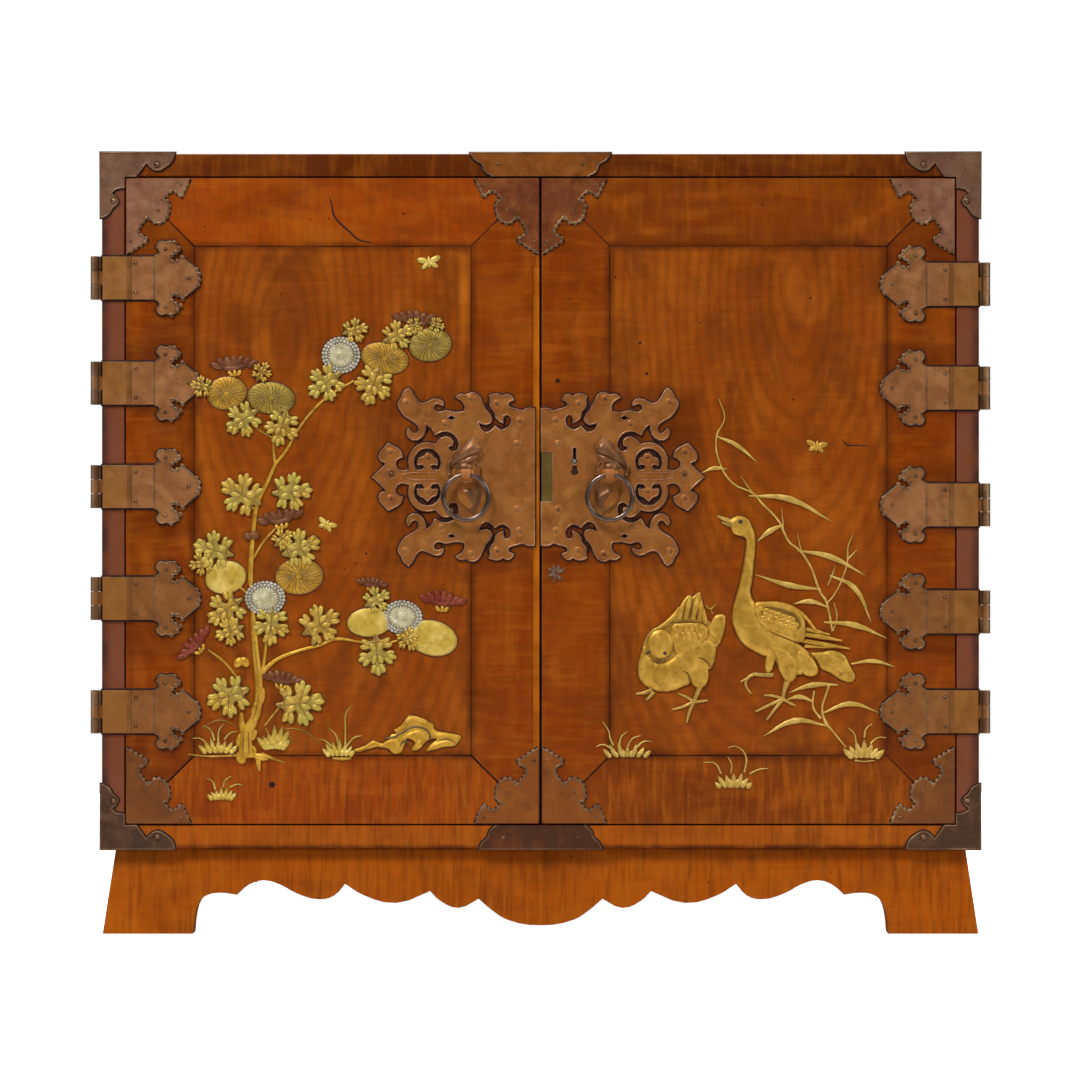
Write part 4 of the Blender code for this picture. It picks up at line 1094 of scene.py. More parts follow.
    def dress(self) -> None:
        """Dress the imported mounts."""
        thin = 0.5 * self.rolled
        levels = {
            "top": (self.sheet, self.red, self.aged, self.gilt),
            "bottom": (self.brown, self.worn, self.tarnished, self.blackened),
        }
        dressed: list[tuple[str, Finish, Finish, float]] = []
        for side in Side:
            for number in HINGES:
                strap = self.strap if number > self.WARM_STRAPS else self.warm_strap
                hinge = f"{side.value}_hinge_{number}"
                for part, finish in (("strap", strap), ("leaf", self.leaf)):
                    dressed.append((f"{hinge}_{part}", finish, self.silvered, self.rolled))
            for level, (hinge, meeting, case, _) in levels.items():
                dressed.append((f"{side.door}_{level}_hinge_corner", hinge, self.silvered, thin))
                dressed.append((f"{side.door}_{level}_meeting_corner", meeting, self.silvered, thin))
                dressed.append((f"case_{level}_{side.value}_corner", case, self.silvered, thin))
            for part in ("lock_plate", "ring_boss"):
                dressed.append((f"{side.value}_{part}", self.plate, self.bright, self.rolled))
        for level, finishes in levels.items():
            dressed.append((f"case_{level}_centre_mount", finishes[-1], self.silvered, thin))
        for part in ("case", "bolt"):
            dressed.append((f"lock_{part}", self.brass, self.brass, self.brass_edge))
        for name, finish, edge, width in dressed:
            dress_node(self.nodes[name], finish, edge, width)

    def strap_front(self, name: str) -> float:
        """Depth of the front of a strap's head, whose sheet lies on the line of the hinge's pin."""
        low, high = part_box(name)
        return (low.y + high.y) / 2 - self.sheet_half

    def _outlines(self, node: Object, front: float, whole: bool) -> list[list[Vector]]:
        """Follow the edges of a plate's front face.

        Args:
            node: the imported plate.
            front: depth of its front face.
            whole: whether the sides where the plate ends with the board are followed too.

        Returns:
            The points of each edge line, in order. A closed line ends on its first point.
        """
        mesh = bmesh.new()
        mesh.from_mesh(node.data)
        bmesh.ops.remove_doubles(mesh, verts=mesh.verts, dist=WELD)
        level = {face for face in mesh.faces if all(abs(v.co.y - front) < self.FLUSH for v in face.verts)}
        rim = {edge for edge in mesh.edges if sum(face in level for face in edge.link_faces) == 1}
        low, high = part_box(node.name)
        kept = {edge for edge in rim if whole or not self._on_straight_side(edge, low, high)}
        lines = []
        while kept:
            ends = [edge for edge in kept
                    if any(sum(e in kept for e in v.link_edges) == 1 for v in edge.verts)]
            edge = min(ends or kept, key=lambda e: e.index)
            first, last = edge.verts
            if sum(e in kept for e in first.link_edges) > 1 and ends:
                first, last = last, first
            line = [first.co.copy(), last.co.copy()]
            kept.remove(edge)
            while onward := [e for e in last.link_edges if e in kept]:
                kept.remove(onward[0])
                last = onward[0].other_vert(last)
                line.append(last.co.copy())
            lines.append(line)
        mesh.free()
        return lines

    def _on_straight_side(self, edge: BMEdge, low: Vector, high: Vector) -> bool:
        """Whether an edge lies along a side of its node's box, where the plate ends with the board."""
        ends = [vertex.co for vertex in edge.verts]
        return (ends[0] - ends[1]).length > self.SHORTEST and any(
            all(abs(end[axis] - side[axis]) < self.BESIDE for end in ends)
            for axis in (0, 2) for side in (low, high))

    def roll_edges(self) -> None:
        """Roll a bright rim along the cut edges of every plate, and lay a dark line of dirt and painted
        shadow on the wood round them.
        """
        levels = ("top", "bottom")
        case_places = ("left_corner", "right_corner", "centre_mount")
        plates = {"carcass": [f"case_{level}_{place}" for level in levels for place in case_places]}
        for side in Side:
            ends = ("hinge", "meeting")
            plates[side.door] = [f"{side.door}_{level}_{end}_corner" for level in levels for end in ends]
            plates[side.door] += [f"{side.value}_hinge_{number}_strap" for number in HINGES]
            plates[side.door] += [f"{side.value}_lock_plate"]
        for body, names in plates.items():
            rims = Relief(0.0, self.shop)
            dirt = Relief(0.0, self.shop, self.dirt_flatness)
            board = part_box("case_top" if body == "carcass" else f"{body}_panel")[0].y
            for name in names:
                strap, lock = name.endswith("strap"), name.endswith("lock_plate")
                front = self.strap_front(name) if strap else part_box(name)[0].y
                heap = f"{body}_lock_rims" if lock else f"{body}_rolled_edges"
                lines = self._outlines(self.nodes[name], front, lock)
                spreads = self._gap_spreads(lines) if lock else [[self.dirt] * len(line) for line in lines]
                for line, spread in zip(lines, spreads):
                    self._roll(rims, heap, line, strap)
                    if name.endswith("corner") and body != "carcass":
                        self._lobe(rims, heap, line, board - front)
                    # A dark line on the wood round the plate: dirt and painted shadow.
                    spots = [Vector((point.x, board, point.z)) for point in line]
                    dirt.path(f"{body}_mount_dirt", list(zip(spots, spread)))
            rims.piece(f"{body}_rolled_edges", self.silvered, body)
            if body != "carcass":
                rims.piece(f"{body}_lock_rims", self.bright, body)
            dirt.piece(f"{body}_mount_dirt", self.grime, body)

    def _gap_spreads(self, lines: list[list[Vector]]) -> list[list[float]]:
        """Find how far the dark line of dirt and painted shade spreads from a lock plate's edges: across a
        narrow gap, which it fills, and a little elsewhere.

        Args:
            lines: the plate's closed edge lines.

        Returns:
            The spread at each point of each line.
        """
        sides = [(start.xz, stop.xz) for line in lines for start, stop in zip(line, line[1:])]
        step, spare = 0.2 * MM, 0.3 * MM

        def covered(spot: Vector) -> bool:
            """Whether a place is under the plate."""
            crossed = [stop.x + (spot.y - stop.y) * (start.x - stop.x) / (start.y - stop.y) > spot.x
                       for start, stop in sides if (start.y > spot.y) != (stop.y > spot.y)]
            return sum(crossed) % 2 == 1

        spreads = []
        for line in lines:
            spreads.append([])
            for before, point, after in zip([line[-2], *line], line, [*line[1:], line[1]]):
                way = (after - before).xz.orthogonal().normalized()
                if covered(point.xz + way * step):
                    way = -way
                start, stop = point.xz + way * step, point.xz + way * self.widest_gap
                hits = [intersect_line_line_2d(start, stop, *side) for side in sides]
                gaps = [(hit - start).length / 2 + spare for hit in hits if hit]
                spreads[-1].append(max(self.dirt, min(gaps, default=0.0)))
        return spreads

    def _roll(self, relief: Relief, heap: str, line: list[Vector], strap: bool) -> None:
        """Lay one rim, with small scallops round the head of a strap.

        Args:
            relief: where the rim is gathered.
            heap: the piece that it goes to.
            line: the edge that it follows.
            strap: whether the plate is a hinge's strap.
        """
        reach = [CASE_HALF_WIDTH - abs(point.x) for point in line]
        if strap and max(reach) < self.root + 1 * MM:
            return
        shown = [point for point, far in zip(line, reach) if not strap or far > self.root]
        relief.path(heap, [(point, self.rim) for point in shown])
        if not strap:
            return
        travelled = 0.0
        for start, stop, far in zip(line, line[1:], reach):
            travelled += (stop - start).length
            if far > self.head and travelled >= self.scallop:
                travelled = 0.0
                relief.lump(heap, Stock.ROUND, stop, 90, (self.scallop, self.scallop, self.scallop_rise))

    def _lobe(self, relief: Relief, heap: str, line: list[Vector], thick: float) -> None:
        """Set small round lobes along the cut edge of a corner plate.

        Args:
            relief: where they are gathered.
            heap: the piece that they go to.
            line: the edge that they follow.
            thick: how far the plate's front stands off the board.
        """
        ahead = self.lobe_gap
        for start, stop in zip(line, line[1:]):
            length = (stop - start).length
            while ahead < length:
                place = start.lerp(stop, ahead / length)
                if min((place - end).length for end in (line[0], line[-1])) > self.lobe:
                    size = (self.lobe, self.lobe, thick + self.lobe_rise)
                    relief.lump(heap, Stock.ROUND, place, 90, size, -thick)
                ahead += self.lobe_gap
            ahead -= length

    def drive(self, body: str, place: Vector, out: Vector = FORWARD, size: float = 1.0) -> None:
        """Drive a nail.

        Args:
            body: the body that carries it.
            place: where its head meets the plate.
            out: the way the head faces.
            size: its size, as a share of the usual one.
        """
        turn = FORWARD.rotation_difference(out).to_matrix().to_4x4()
        frame = Matrix.Translation(place) @ turn @ Matrix.Scale(self.nail * size, 4)
        self.nails.gather(f"{body}_nails", self.shop.copy(Stock.NAIL, frame))

    def nail_hinges(self) -> None:
        """Nail the straps to the doors and the leaves to the case's sides."""
        for side in Side:
            for number in HINGES:
                strap = f"{side.value}_hinge_{number}_strap"
                low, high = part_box(strap)
                middle = (low.z + high.z) / 2
                front = self.strap_front(strap)
                for reach, rise in self.STRAP_NAILS:
                    x = side.outward * (CASE_HALF_WIDTH - reach * MM)
                    self.drive(side.door, Vector((x, front, middle + rise * MM)))
                low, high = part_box(f"{side.value}_hinge_{number}_leaf")
                face = high.x if side is Side.RIGHT else low.x
                for share, rise in self.LEAF_NAILS:
                    place = Vector((face, low.y + share * (high.y - low.y), middle + rise * self.leaf_width))
                    self.drive("carcass", place, Vector((side.outward, 0, 0)))

    def nail_corners(self) -> None:
        """Nail the corner plates of the doors and of the case, and the two centre mounts."""
        for level in ("top", "bottom"):
            for side in Side:
                for end in ("hinge", "meeting"):
                    low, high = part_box(f"{side.door}_{level}_{end}_corner")
                    at_left = (side is Side.LEFT) == (end == "hinge")
                    for across, along_up in self.PLATE_NAILS:
                        x = low.x + (high.x - low.x) * (across if at_left else 1 - across)
                        z = low.z + (high.z - low.z) * (1 - along_up if level == "top" else along_up)
                        self.drive(side.door, Vector((x, low.y, z)), size=self.PLATE_NAIL)
                low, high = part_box(f"case_{level}_{side.value}_corner")
                for inset, drop in self.CASE_NAILS:
                    x = side.outward * (CASE_HALF_WIDTH - inset * MM)
                    z = high.z - drop * MM if level == "top" else low.z + drop * MM
                    self.drive("carcass", Vector((x, low.y, z)), size=self.CASE_NAIL)
            low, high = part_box(f"case_{level}_centre_mount")
            for share in self.CENTRE_NAILS:
                x = low.x + share * (high.x - low.x)
                self.drive("carcass", Vector((x, low.y, (low.z + high.z) / 2)))

    def finish_nails(self) -> None:
        """Make the driven nails one piece for each body."""
        for body in (Side.LEFT.door, "carcass", Side.RIGHT.door):
            self.nails.piece(f"{body}_nails", self.nail_head, body)


@dataclass
class LockFurniture:
    """What is cast and nailed on the lock plates: nails, bosses, rings and the keyhole's pin.

    Attributes:
        mounts: the mounts, whose finishes and nails it uses.
        shop: the stock shapes.
        packed_wire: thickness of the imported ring's wire.
        dome: height of the low dome round a nail.
        dome_width: its width.
        ring_radius: radius of the drop ring, to the middle of its wire.
        wire: radius of its wire.
        worn: how much thinner that is where the ring hangs.
        pin_radius: radius of the keyhole's pin.
        pin_length: its length.
        pin_depth: how far behind the plate's front its middle is.
        pin_edge: width of its rounded edge.
    """

    mounts: Mounts
    shop: Shop
    packed_wire: float = 2.8 * MM
    dome: float = 0.9 * MM
    dome_width: float = 9.5 * MM
    ring_radius: float = 23.0 * MM
    wire: float = 2.6 * MM
    worn: float = 0.3 * MM
    pin_radius: float = 1.7 * MM
    pin_length: float = 8 * MM
    pin_depth: float = 3.2 * MM
    pin_edge: float = 0.7 * MM
    # Sizes of the nails, as shares of the usual one.
    PLATE_NAIL = 0.8
    FINIAL_NAIL = 1.5
    # Places on the plate, in millimetres towards the doors' meeting line and up from where the ring hangs.
    NAIL_PLACES = (
        (-61.7, 74.2), (-21.7, 52.0), (4.5, 78.0), (31.3, 72.8), (54.9, 55.3), (52.3, 31.2),
        (52.8, -35.7), (54.8, -58.1), (31.9, -78.1), (5.3, -81.6), (-25.0, -54.0), (-62.5, -78.5),
        (-77.4, -24.5), (-77.4, 23.4), (-38.8, 17.9), (-39.2, -17.3),
    )
    FINIAL = (-76.8, 1.2)
    LOBES = ((-77.4, 23.4), (-77.4, -24.5), (-61.7, 74.2), (-62.5, -78.5))
    # Radius of the chased circles on the lobes and on the finial, and half width of their line.
    LOBE_CIRCLE = 4.0
    FINIAL_CIRCLE = 5.4
    CIRCLE_LINE = 0.55 * MM
    # Folds of the cast leaves: the same with a height, and the corners of each plane.
    UPPER_LEAF = (
        (8.0, 40.6, 1.2), (16.2, 27.9, 2.0), (14.9, 24.1, 4.6), (3.0, 20.3, 5.4), (-15.9, 8.9, 4.0),
        (-6.5, 25.4, 1.6), (-3.3, 31.7, 1.2), (6.0, 29.5, 4.4), (-15.0, 19.0, 1.2),
    )
    UPPER_PLANES = (
        (0, 1, 7), (1, 2, 7), (2, 3, 7), (3, 5, 7), (5, 6, 7), (6, 0, 7), (3, 4, 5), (4, 8, 5),
    )
    RIBBON = (
        (14.5, 22.8, 4.0), (3.0, 18.6, 4.8), (-13.5, 8.8, 3.6), (-10.0, 5.5, 3.2), (4.2, 13.5, 5.2),
        (13.2, 18.5, 3.6),
    )
    RIBBON_PLANES = ((0, 1, 4, 5), (1, 2, 3, 4))
    LOWER_LEAF = (
        (-6.5, -15.5, 2.2), (4.0, -8.0, 0.8), (14.5, -10.0, 3.0), (15.5, -21.0, 0.6), (13.0, -31.0, 0.5),
        (7.0, -42.0, 0.4), (2.2, -36.0, 0.5), (-0.5, -26.0, 0.5), (11.0, -22.5, 4.2), (1.0, -17.0, 4.6),
        (6.5, -31.0, 3.0),
    )
    LOWER_PLANES = (
        (0, 9, 1), (1, 9, 8), (1, 8, 2), (2, 8, 3), (3, 8, 4), (8, 10, 4), (4, 10, 5), (5, 10, 6),
        (6, 10, 7), (7, 10, 9), (7, 9, 0), (9, 10, 8),
    )
    # Places with the half width of a line, and its lift: the curls round the knob, and the chased lines.
    CURLS = (
        (((-9, 13, 1.2), (-0.8, 14.5, 1.8), (7, 13, 1.2)), 3.6),
        (((9, 14, 1.4), (12.5, 8, 2.0), (13, 1, 1.6)), 1.8),
        (((-14, 18, 1.2), (-18.5, 9, 2.0), (-17.2, 1, 1.6)), 1.8),
    )
    CHASED = (
        (((-66, 0.88, 0.5), (-56, 2.2, 0.9), (-30, 2.2, 0.5)), 0.0),
        (((-66, -1.84, 0.5), (-56, -4.6, 0.9), (-30, -4.6, 0.5)), 0.0),
    )
    # The knob that carries the ring, and the beads beside it.
    KNOB = (-0.8, 7.5)
    KNOB_SIZE = (13 * MM, 16 * MM, 6.2 * MM)
    BEADS = (-17.2, -2.7, 13)
    BEAD_SIZE = (5.2 * MM, 5.2 * MM, 5.6 * MM)
    # The keyhole's place, and the drop, width and height of the dark patches round it, grime and painted
    # shade that make the dark keyhole look larger.
    KEYHOLE = (35 * MM, 484.8 * MM)
    KEYHOLE_WEAR = ((0, 6.4, 8), (7, 5, 9), (11, 8, 6))
    DARKENING_RISE = 0.2 * MM

    def build(self) -> None:
        """Make the furniture of both plates."""
        for side in Side:
            low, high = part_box(f"{side.value}_ring")
            plate_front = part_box(f"{side.value}_lock_plate")[0].y
            hang = Vector(((low.x + high.x) / 2, plate_front, high.z - self.packed_wire))
            nails = [(*spot, self.dome, self.PLATE_NAIL) for spot in self.NAIL_PLACES]
            for across, rise, lift, size in (*nails, (*self.FINIAL, 0.0, self.FINIAL_NAIL)):
                x, z = hang.x - side.outward * across * MM, hang.z + rise * MM
                self.mounts.drive(side.door, Vector((x, plate_front - lift, z)), size=size)
            self._boss(side, hang)
            self._ring(side, (low + high) / 2)
        self._pin()

    def _boss(self, side: Side, hang: Vector) -> None:
        """Cast the leaves, ribbon and curls round the knob, chase the plate and dome it round its nails.

        Args:
            side: which door.
            hang: where the ring hangs, on the plate's front.
        """
        relief = Relief(hang.y, self.shop)
        heaps = [f"{side.value}_{part}" for part in ("boss_leaves", "plate_chasing", "plate_domes")]
        leaves, chasing, domes = heaps

        def at(across: float, rise: float) -> Vector:
            """Place on the plate, in millimetres from where the ring hangs."""
            return Vector((hang.x - side.outward * across * MM, hang.y, hang.z + rise * MM))

        folded = ((self.UPPER_LEAF, self.UPPER_PLANES, True), (self.RIBBON, self.RIBBON_PLANES, True),
                  (self.LOWER_LEAF, self.LOWER_PLANES, False))
        for corners, planes, smooth in folded:
            raised = [at(across, rise) - Vector((0, height * MM, 0)) for across, rise, height in corners]
            relief.facets(leaves, raised, planes, smooth)
        relief.lump(leaves, Stock.SWELLING, at(*self.KNOB), 90, self.KNOB_SIZE)
        for across in self.BEADS:
            relief.lump(leaves, Stock.ROUND, at(across, 0), 90, self.BEAD_SIZE)
        for heap, lines in ((leaves, self.CURLS), (chasing, self.CHASED)):
            for line, lift in lines:
                relief.line(heap, [(at(across, rise), half * MM) for across, rise, half in line], lift * MM)
        for across, rise in (*self.LOBES, self.FINIAL):
            reach = self.FINIAL_CIRCLE if (across, rise) == self.FINIAL else self.LOBE_CIRCLE
            turns = [math.radians(step * 30) for step in range(13)]
            circle = [at(across + reach * math.cos(turn), rise + reach * math.sin(turn)) for turn in turns]
            relief.path(chasing, [(place, self.CIRCLE_LINE) for place in circle])
        size = (self.dome_width, self.dome_width, self.dome)
        for spot in self.NAIL_PLACES:
            relief.lump(domes, Stock.SWELLING, at(*spot), 90, size)
        for heap, finish in zip(heaps, (self.mounts.cast, self.mounts.bright, self.mounts.plate)):
            relief.piece(heap, finish, side.door)

    def _ring(self, side: Side, middle: Vector) -> None:
        """Model a drop ring, worn thin where it hangs.

        Args:
            side: which door.
            middle: the ring's middle.
        """
        Bench.clear()
        bpy.ops.mesh.primitive_torus_add(
            major_segments=64, minor_segments=14, major_radius=self.ring_radius, minor_radius=self.wire,
            location=middle, rotation=(math.pi / 2, 0, 0))
        ring = bpy.context.object
        ring.name = f"{side.value}_drop_ring"
        bpy.ops.object.transform_apply(location=True, rotation=True, scale=True)
        bpy.ops.object.mode_set(mode="EDIT")
        Bench.pick(ring, lambda place: place.z > middle.z + 0.8 * self.ring_radius)
        bpy.ops.transform.shrink_fatten(value=-self.worn)
        Bench.clear()
        ring.select_set(True)
        bpy.ops.object.shade_smooth()
        settle(ring, self.mounts.ring, f"{side.value}_ring")
        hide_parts(f"{side.value}_ring")

    def _pin(self) -> None:
        """Paint grime and shade round the keyhole, which makes its dark opening look larger, and turn the
        steel pin that stands in it.
        """
        Bench.clear()
        x, z = self.KEYHOLE
        plate_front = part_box("right_lock_plate")[0].y
        hole = Relief(plate_front, self.shop)
        for drop, wide, tall in self.KEYHOLE_WEAR:
            hole.lump("keyhole_wear", Stock.SWELLING, Vector((x, plate_front, z - drop * MM)), 90,
                      (tall * MM, wide * MM, self.DARKENING_RISE))
        hole.piece("keyhole_wear", self.mounts.grime, "right_door")
        bpy.ops.mesh.primitive_cylinder_add(
            vertices=20, radius=self.pin_radius, depth=self.pin_length, rotation=(math.pi / 2, 0, 0),
            location=(x, plate_front + self.pin_depth, z))
        pin = bpy.context.object
        pin.name = "keyhole_pin"
        bpy.ops.object.transform_apply(location=True, rotation=True, scale=True)
        bpy.ops.object.mode_set(mode="EDIT")
        Bench.pick(pin, lambda place: place.y < plate_front)
        bpy.ops.mesh.bevel(offset=self.pin_edge, segments=3, affect="EDGES")
        Bench.clear()
        steel = patinated("keyhole_steel", "#8f9488", "#c4c8bc", "#55584e", 0.9, slot="lock_brass")
        settle(pin, steel, "right_door")


class Bloom(Enum):
    """Kinds of chrysanthemum head."""

    RAYED = "rayed"
    OLIVE = "olive"
    PLAIN = "plain"
    RINGED = "ringed"


@dataclass(frozen=True)
class Head:
    """A chrysanthemum head, in pixels of the photograph.

    Attributes:
        at: its middle.
        half: half its width and half its height.
        kind: how its petals lie.
        turn: how far it leans, in degrees.
    """

    at: Point
    half: Point
    kind: Bloom
    turn: float = 0.0

    def spoke(self, angle: float) -> Vector:
        """From its middle to its edge, at an angle in radians."""
        across, up = heading(self.turn) * self.half[0], heading(self.turn + 90) * self.half[1]
        return across * math.cos(angle) + up * math.sin(angle)


@dataclass
class DoorPicture:
    """Raised work on one door, drawn in pixels of the photograph.

    Attributes:
        face: the door's front.
        shop: the stock shapes.
        seed: start of the small irregularities.
    """

    SIDE: ClassVar[Side]
    # Lift under which a shape stands on the door and has a painted shadow round it, in millimetres, and half
    # the width of that shadow.
    LOW = 2.0
    EDGE_SHADOW = 1.2
    # Flatness and dark lacquer of the painted shadow.
    DIRT_FLATNESS = 0.1
    DIRT = Finish("lacquer_painted_shadow", "#54240a", (Layer("#6a340e", (12 * MM,) * 3, 0.45, 0.65, 0.8),),
                  "door_wood", roughness=(0.4, 0.6), specular=0.1)
    # Half width of the dark line round a shape that stands on another: a drawn outline that also paints the
    # shade at its edge.
    CONTOUR = 0.55 * MM
    # Short blades in each row of a clump of grass, and how far the outer ones lean, in degrees.
    BLADE_ROWS = (7, 6)
    BLADE_LEAN = 44
    # The way each wing of an insect points from its head, and its length as a share of the body's.
    WINGS = ((70, 1.0), (-70, 1.0), (125, 0.8), (-125, 0.8))
    face: DoorFace
    shop: Shop
    seed: int

    def __post_init__(self) -> None:
        """Start with a bare door."""
        self.relief = Relief(self.face.front, self.shop)
        self.shadow = Relief(self.face.front, self.shop, self.DIRT_FLATNESS)
        self.draw = random.Random(self.seed)
        self.shadow_heap = f"{self.SIDE.door}_picture_dirt"

    def depths(self, ground: float, top: float) -> Point:
        """Depth coordinates of two heights over the door, in millimetres."""
        return self.face.front - ground * MM, self.face.front - top * MM

    def finish(self, pieces: dict[str, Finish]) -> None:
        """Make every heap a piece, and the dark line of painted shadow round the raised work.

        Args:
            pieces: the finish of each heap.
        """
        for heap, finish in pieces.items():
            self.relief.piece(heap, finish, self.SIDE.door)
        self.shadow.piece(self.shadow_heap, self.DIRT, self.SIDE.door)

    def outline(self, edge: Sequence[Point], half: float) -> None:
        """Draw the painted shadow round one raised shape as a dark line on the door.

        Args:
            edge: points round it.
            half: half the width of the line.
        """
        knots = [(self.face.at(*point), half * self.face.unit) for point in (*edge, edge[0])]
        self.shadow.path(self.shadow_heap, knots)

    def stroke(self, heap: str, points: Sequence[Triple], lift: float) -> None:
        """Draw a rounded line.

        Args:
            heap: the piece that it goes to.
            points: column, row and half width of each point.
            lift: how far it stands off the door, in millimetres.
        """
        knots = [(self.face.at(column, row), half * self.face.unit) for column, row, half in points]
        self.relief.line(heap, knots, lift * MM)

    def strokes(self, heap: str, lines: Sequence[Sequence[Triple]], lift: float) -> None:
        """Draw rounded lines that all stand off the door by the same lift."""
        for line in lines:
            self.stroke(heap, line, lift)

    def lump(self, heap: str, stock: Stock, middle: Point, turn: float, size: Triple,
             lift: float = 0.0) -> None:
        """Lay a stock shape.

        Args:
            heap: the piece that it goes to.
            stock: which shape.
            middle: its middle.
            turn: the way its length points.
            size: length and width in pixels, and height in millimetres.
            lift: how far it stands off the door, in millimetres.
        """
        size = (size[0] * self.face.unit, size[1] * self.face.unit, size[2] * MM)
        self.relief.lump(heap, stock, self.face.at(*middle), turn, size, lift * MM)

    def cushion(self, heap: str, outline: Sequence[Point], height: float, reach: float,
                lift: float = 0.2) -> None:
        """Raise a cushion inside an outline.

        Args:
            heap: the piece that it goes to.
            outline: points of its edge.
            height: how far it rises, in millimetres.
            reach: how far in from the edge it goes on rising, in millimetres.
            lift: how far its edge stands off the door, in millimetres.
        """
        places = [self.face.at(*point) for point in outline]
        self.relief.cushion(heap, places, height * MM, reach * MM, lift * MM)
        # A shape low on the door gets a painted shadow round it; a higher one gets a dark contour line that
        # paints the shade at its edge.
        if lift < self.LOW:
            self.outline(outline, self.EDGE_SHADOW)
            return
        knots = [(place - Vector((0, lift * MM, 0)), self.CONTOUR) for place in (*places, places[0])]
        self.relief.path(f"{heap}_contours", knots)

    def clump(self, heap: str, foot: Point, spread: float, height: float,
              blades: Sequence[Sequence[Point]]) -> None:
        """Raise a clump of grass: two rows of short blades that fan out, and thin curled ones.

        Args:
            heap: the piece that it goes to.
            foot: middle of its foot.
            spread: half the width of its foot.
            height: height of its short blades.
            blades: points of each curled blade, from its foot.
        """
        for row, count in enumerate(self.BLADE_ROWS):
            for index in range(count):
                lean = -1 + 2 * index / (count - 1)
                tall = height * (1 - 0.4 * row) * (1 - 0.3 * lean * lean) * self.draw.uniform(0.75, 1.2)
                turn = 90 - self.BLADE_LEAN * lean
                middle = beside((foot[0] + 0.7 * spread * lean, foot[1]), heading(turn) * tall / 2)
                self.lump(heap, Stock.POINTED, middle, turn, (tall, 0.34 * height, 1.5), 0.2 + 0.8 * row)
        for blade in blades:
            last = len(blade) - 1
            self.stroke(heap, [(*point, 1.2 - 0.8 * step / last) for step, point in enumerate(blade)], 0.6)

    def insect(self, heap: str, middle: Point, length: float, turn: float) -> None:
        """Raise a small winged insect.

        Args:
            heap: the piece that it goes to.
            middle: its middle.
            length: length of its body.
            turn: the way its head points.
        """
        self.lump(heap, Stock.ROUND, middle, turn, (length, 0.28 * length, 2.4))
        for lean, share in self.WINGS:
            wing = share * length
            ahead = heading(turn + lean) * 0.5 * wing
            self.lump(heap, Stock.ROUND, beside(middle, ahead), turn + lean, (wing, 0.55 * wing, 1.9))


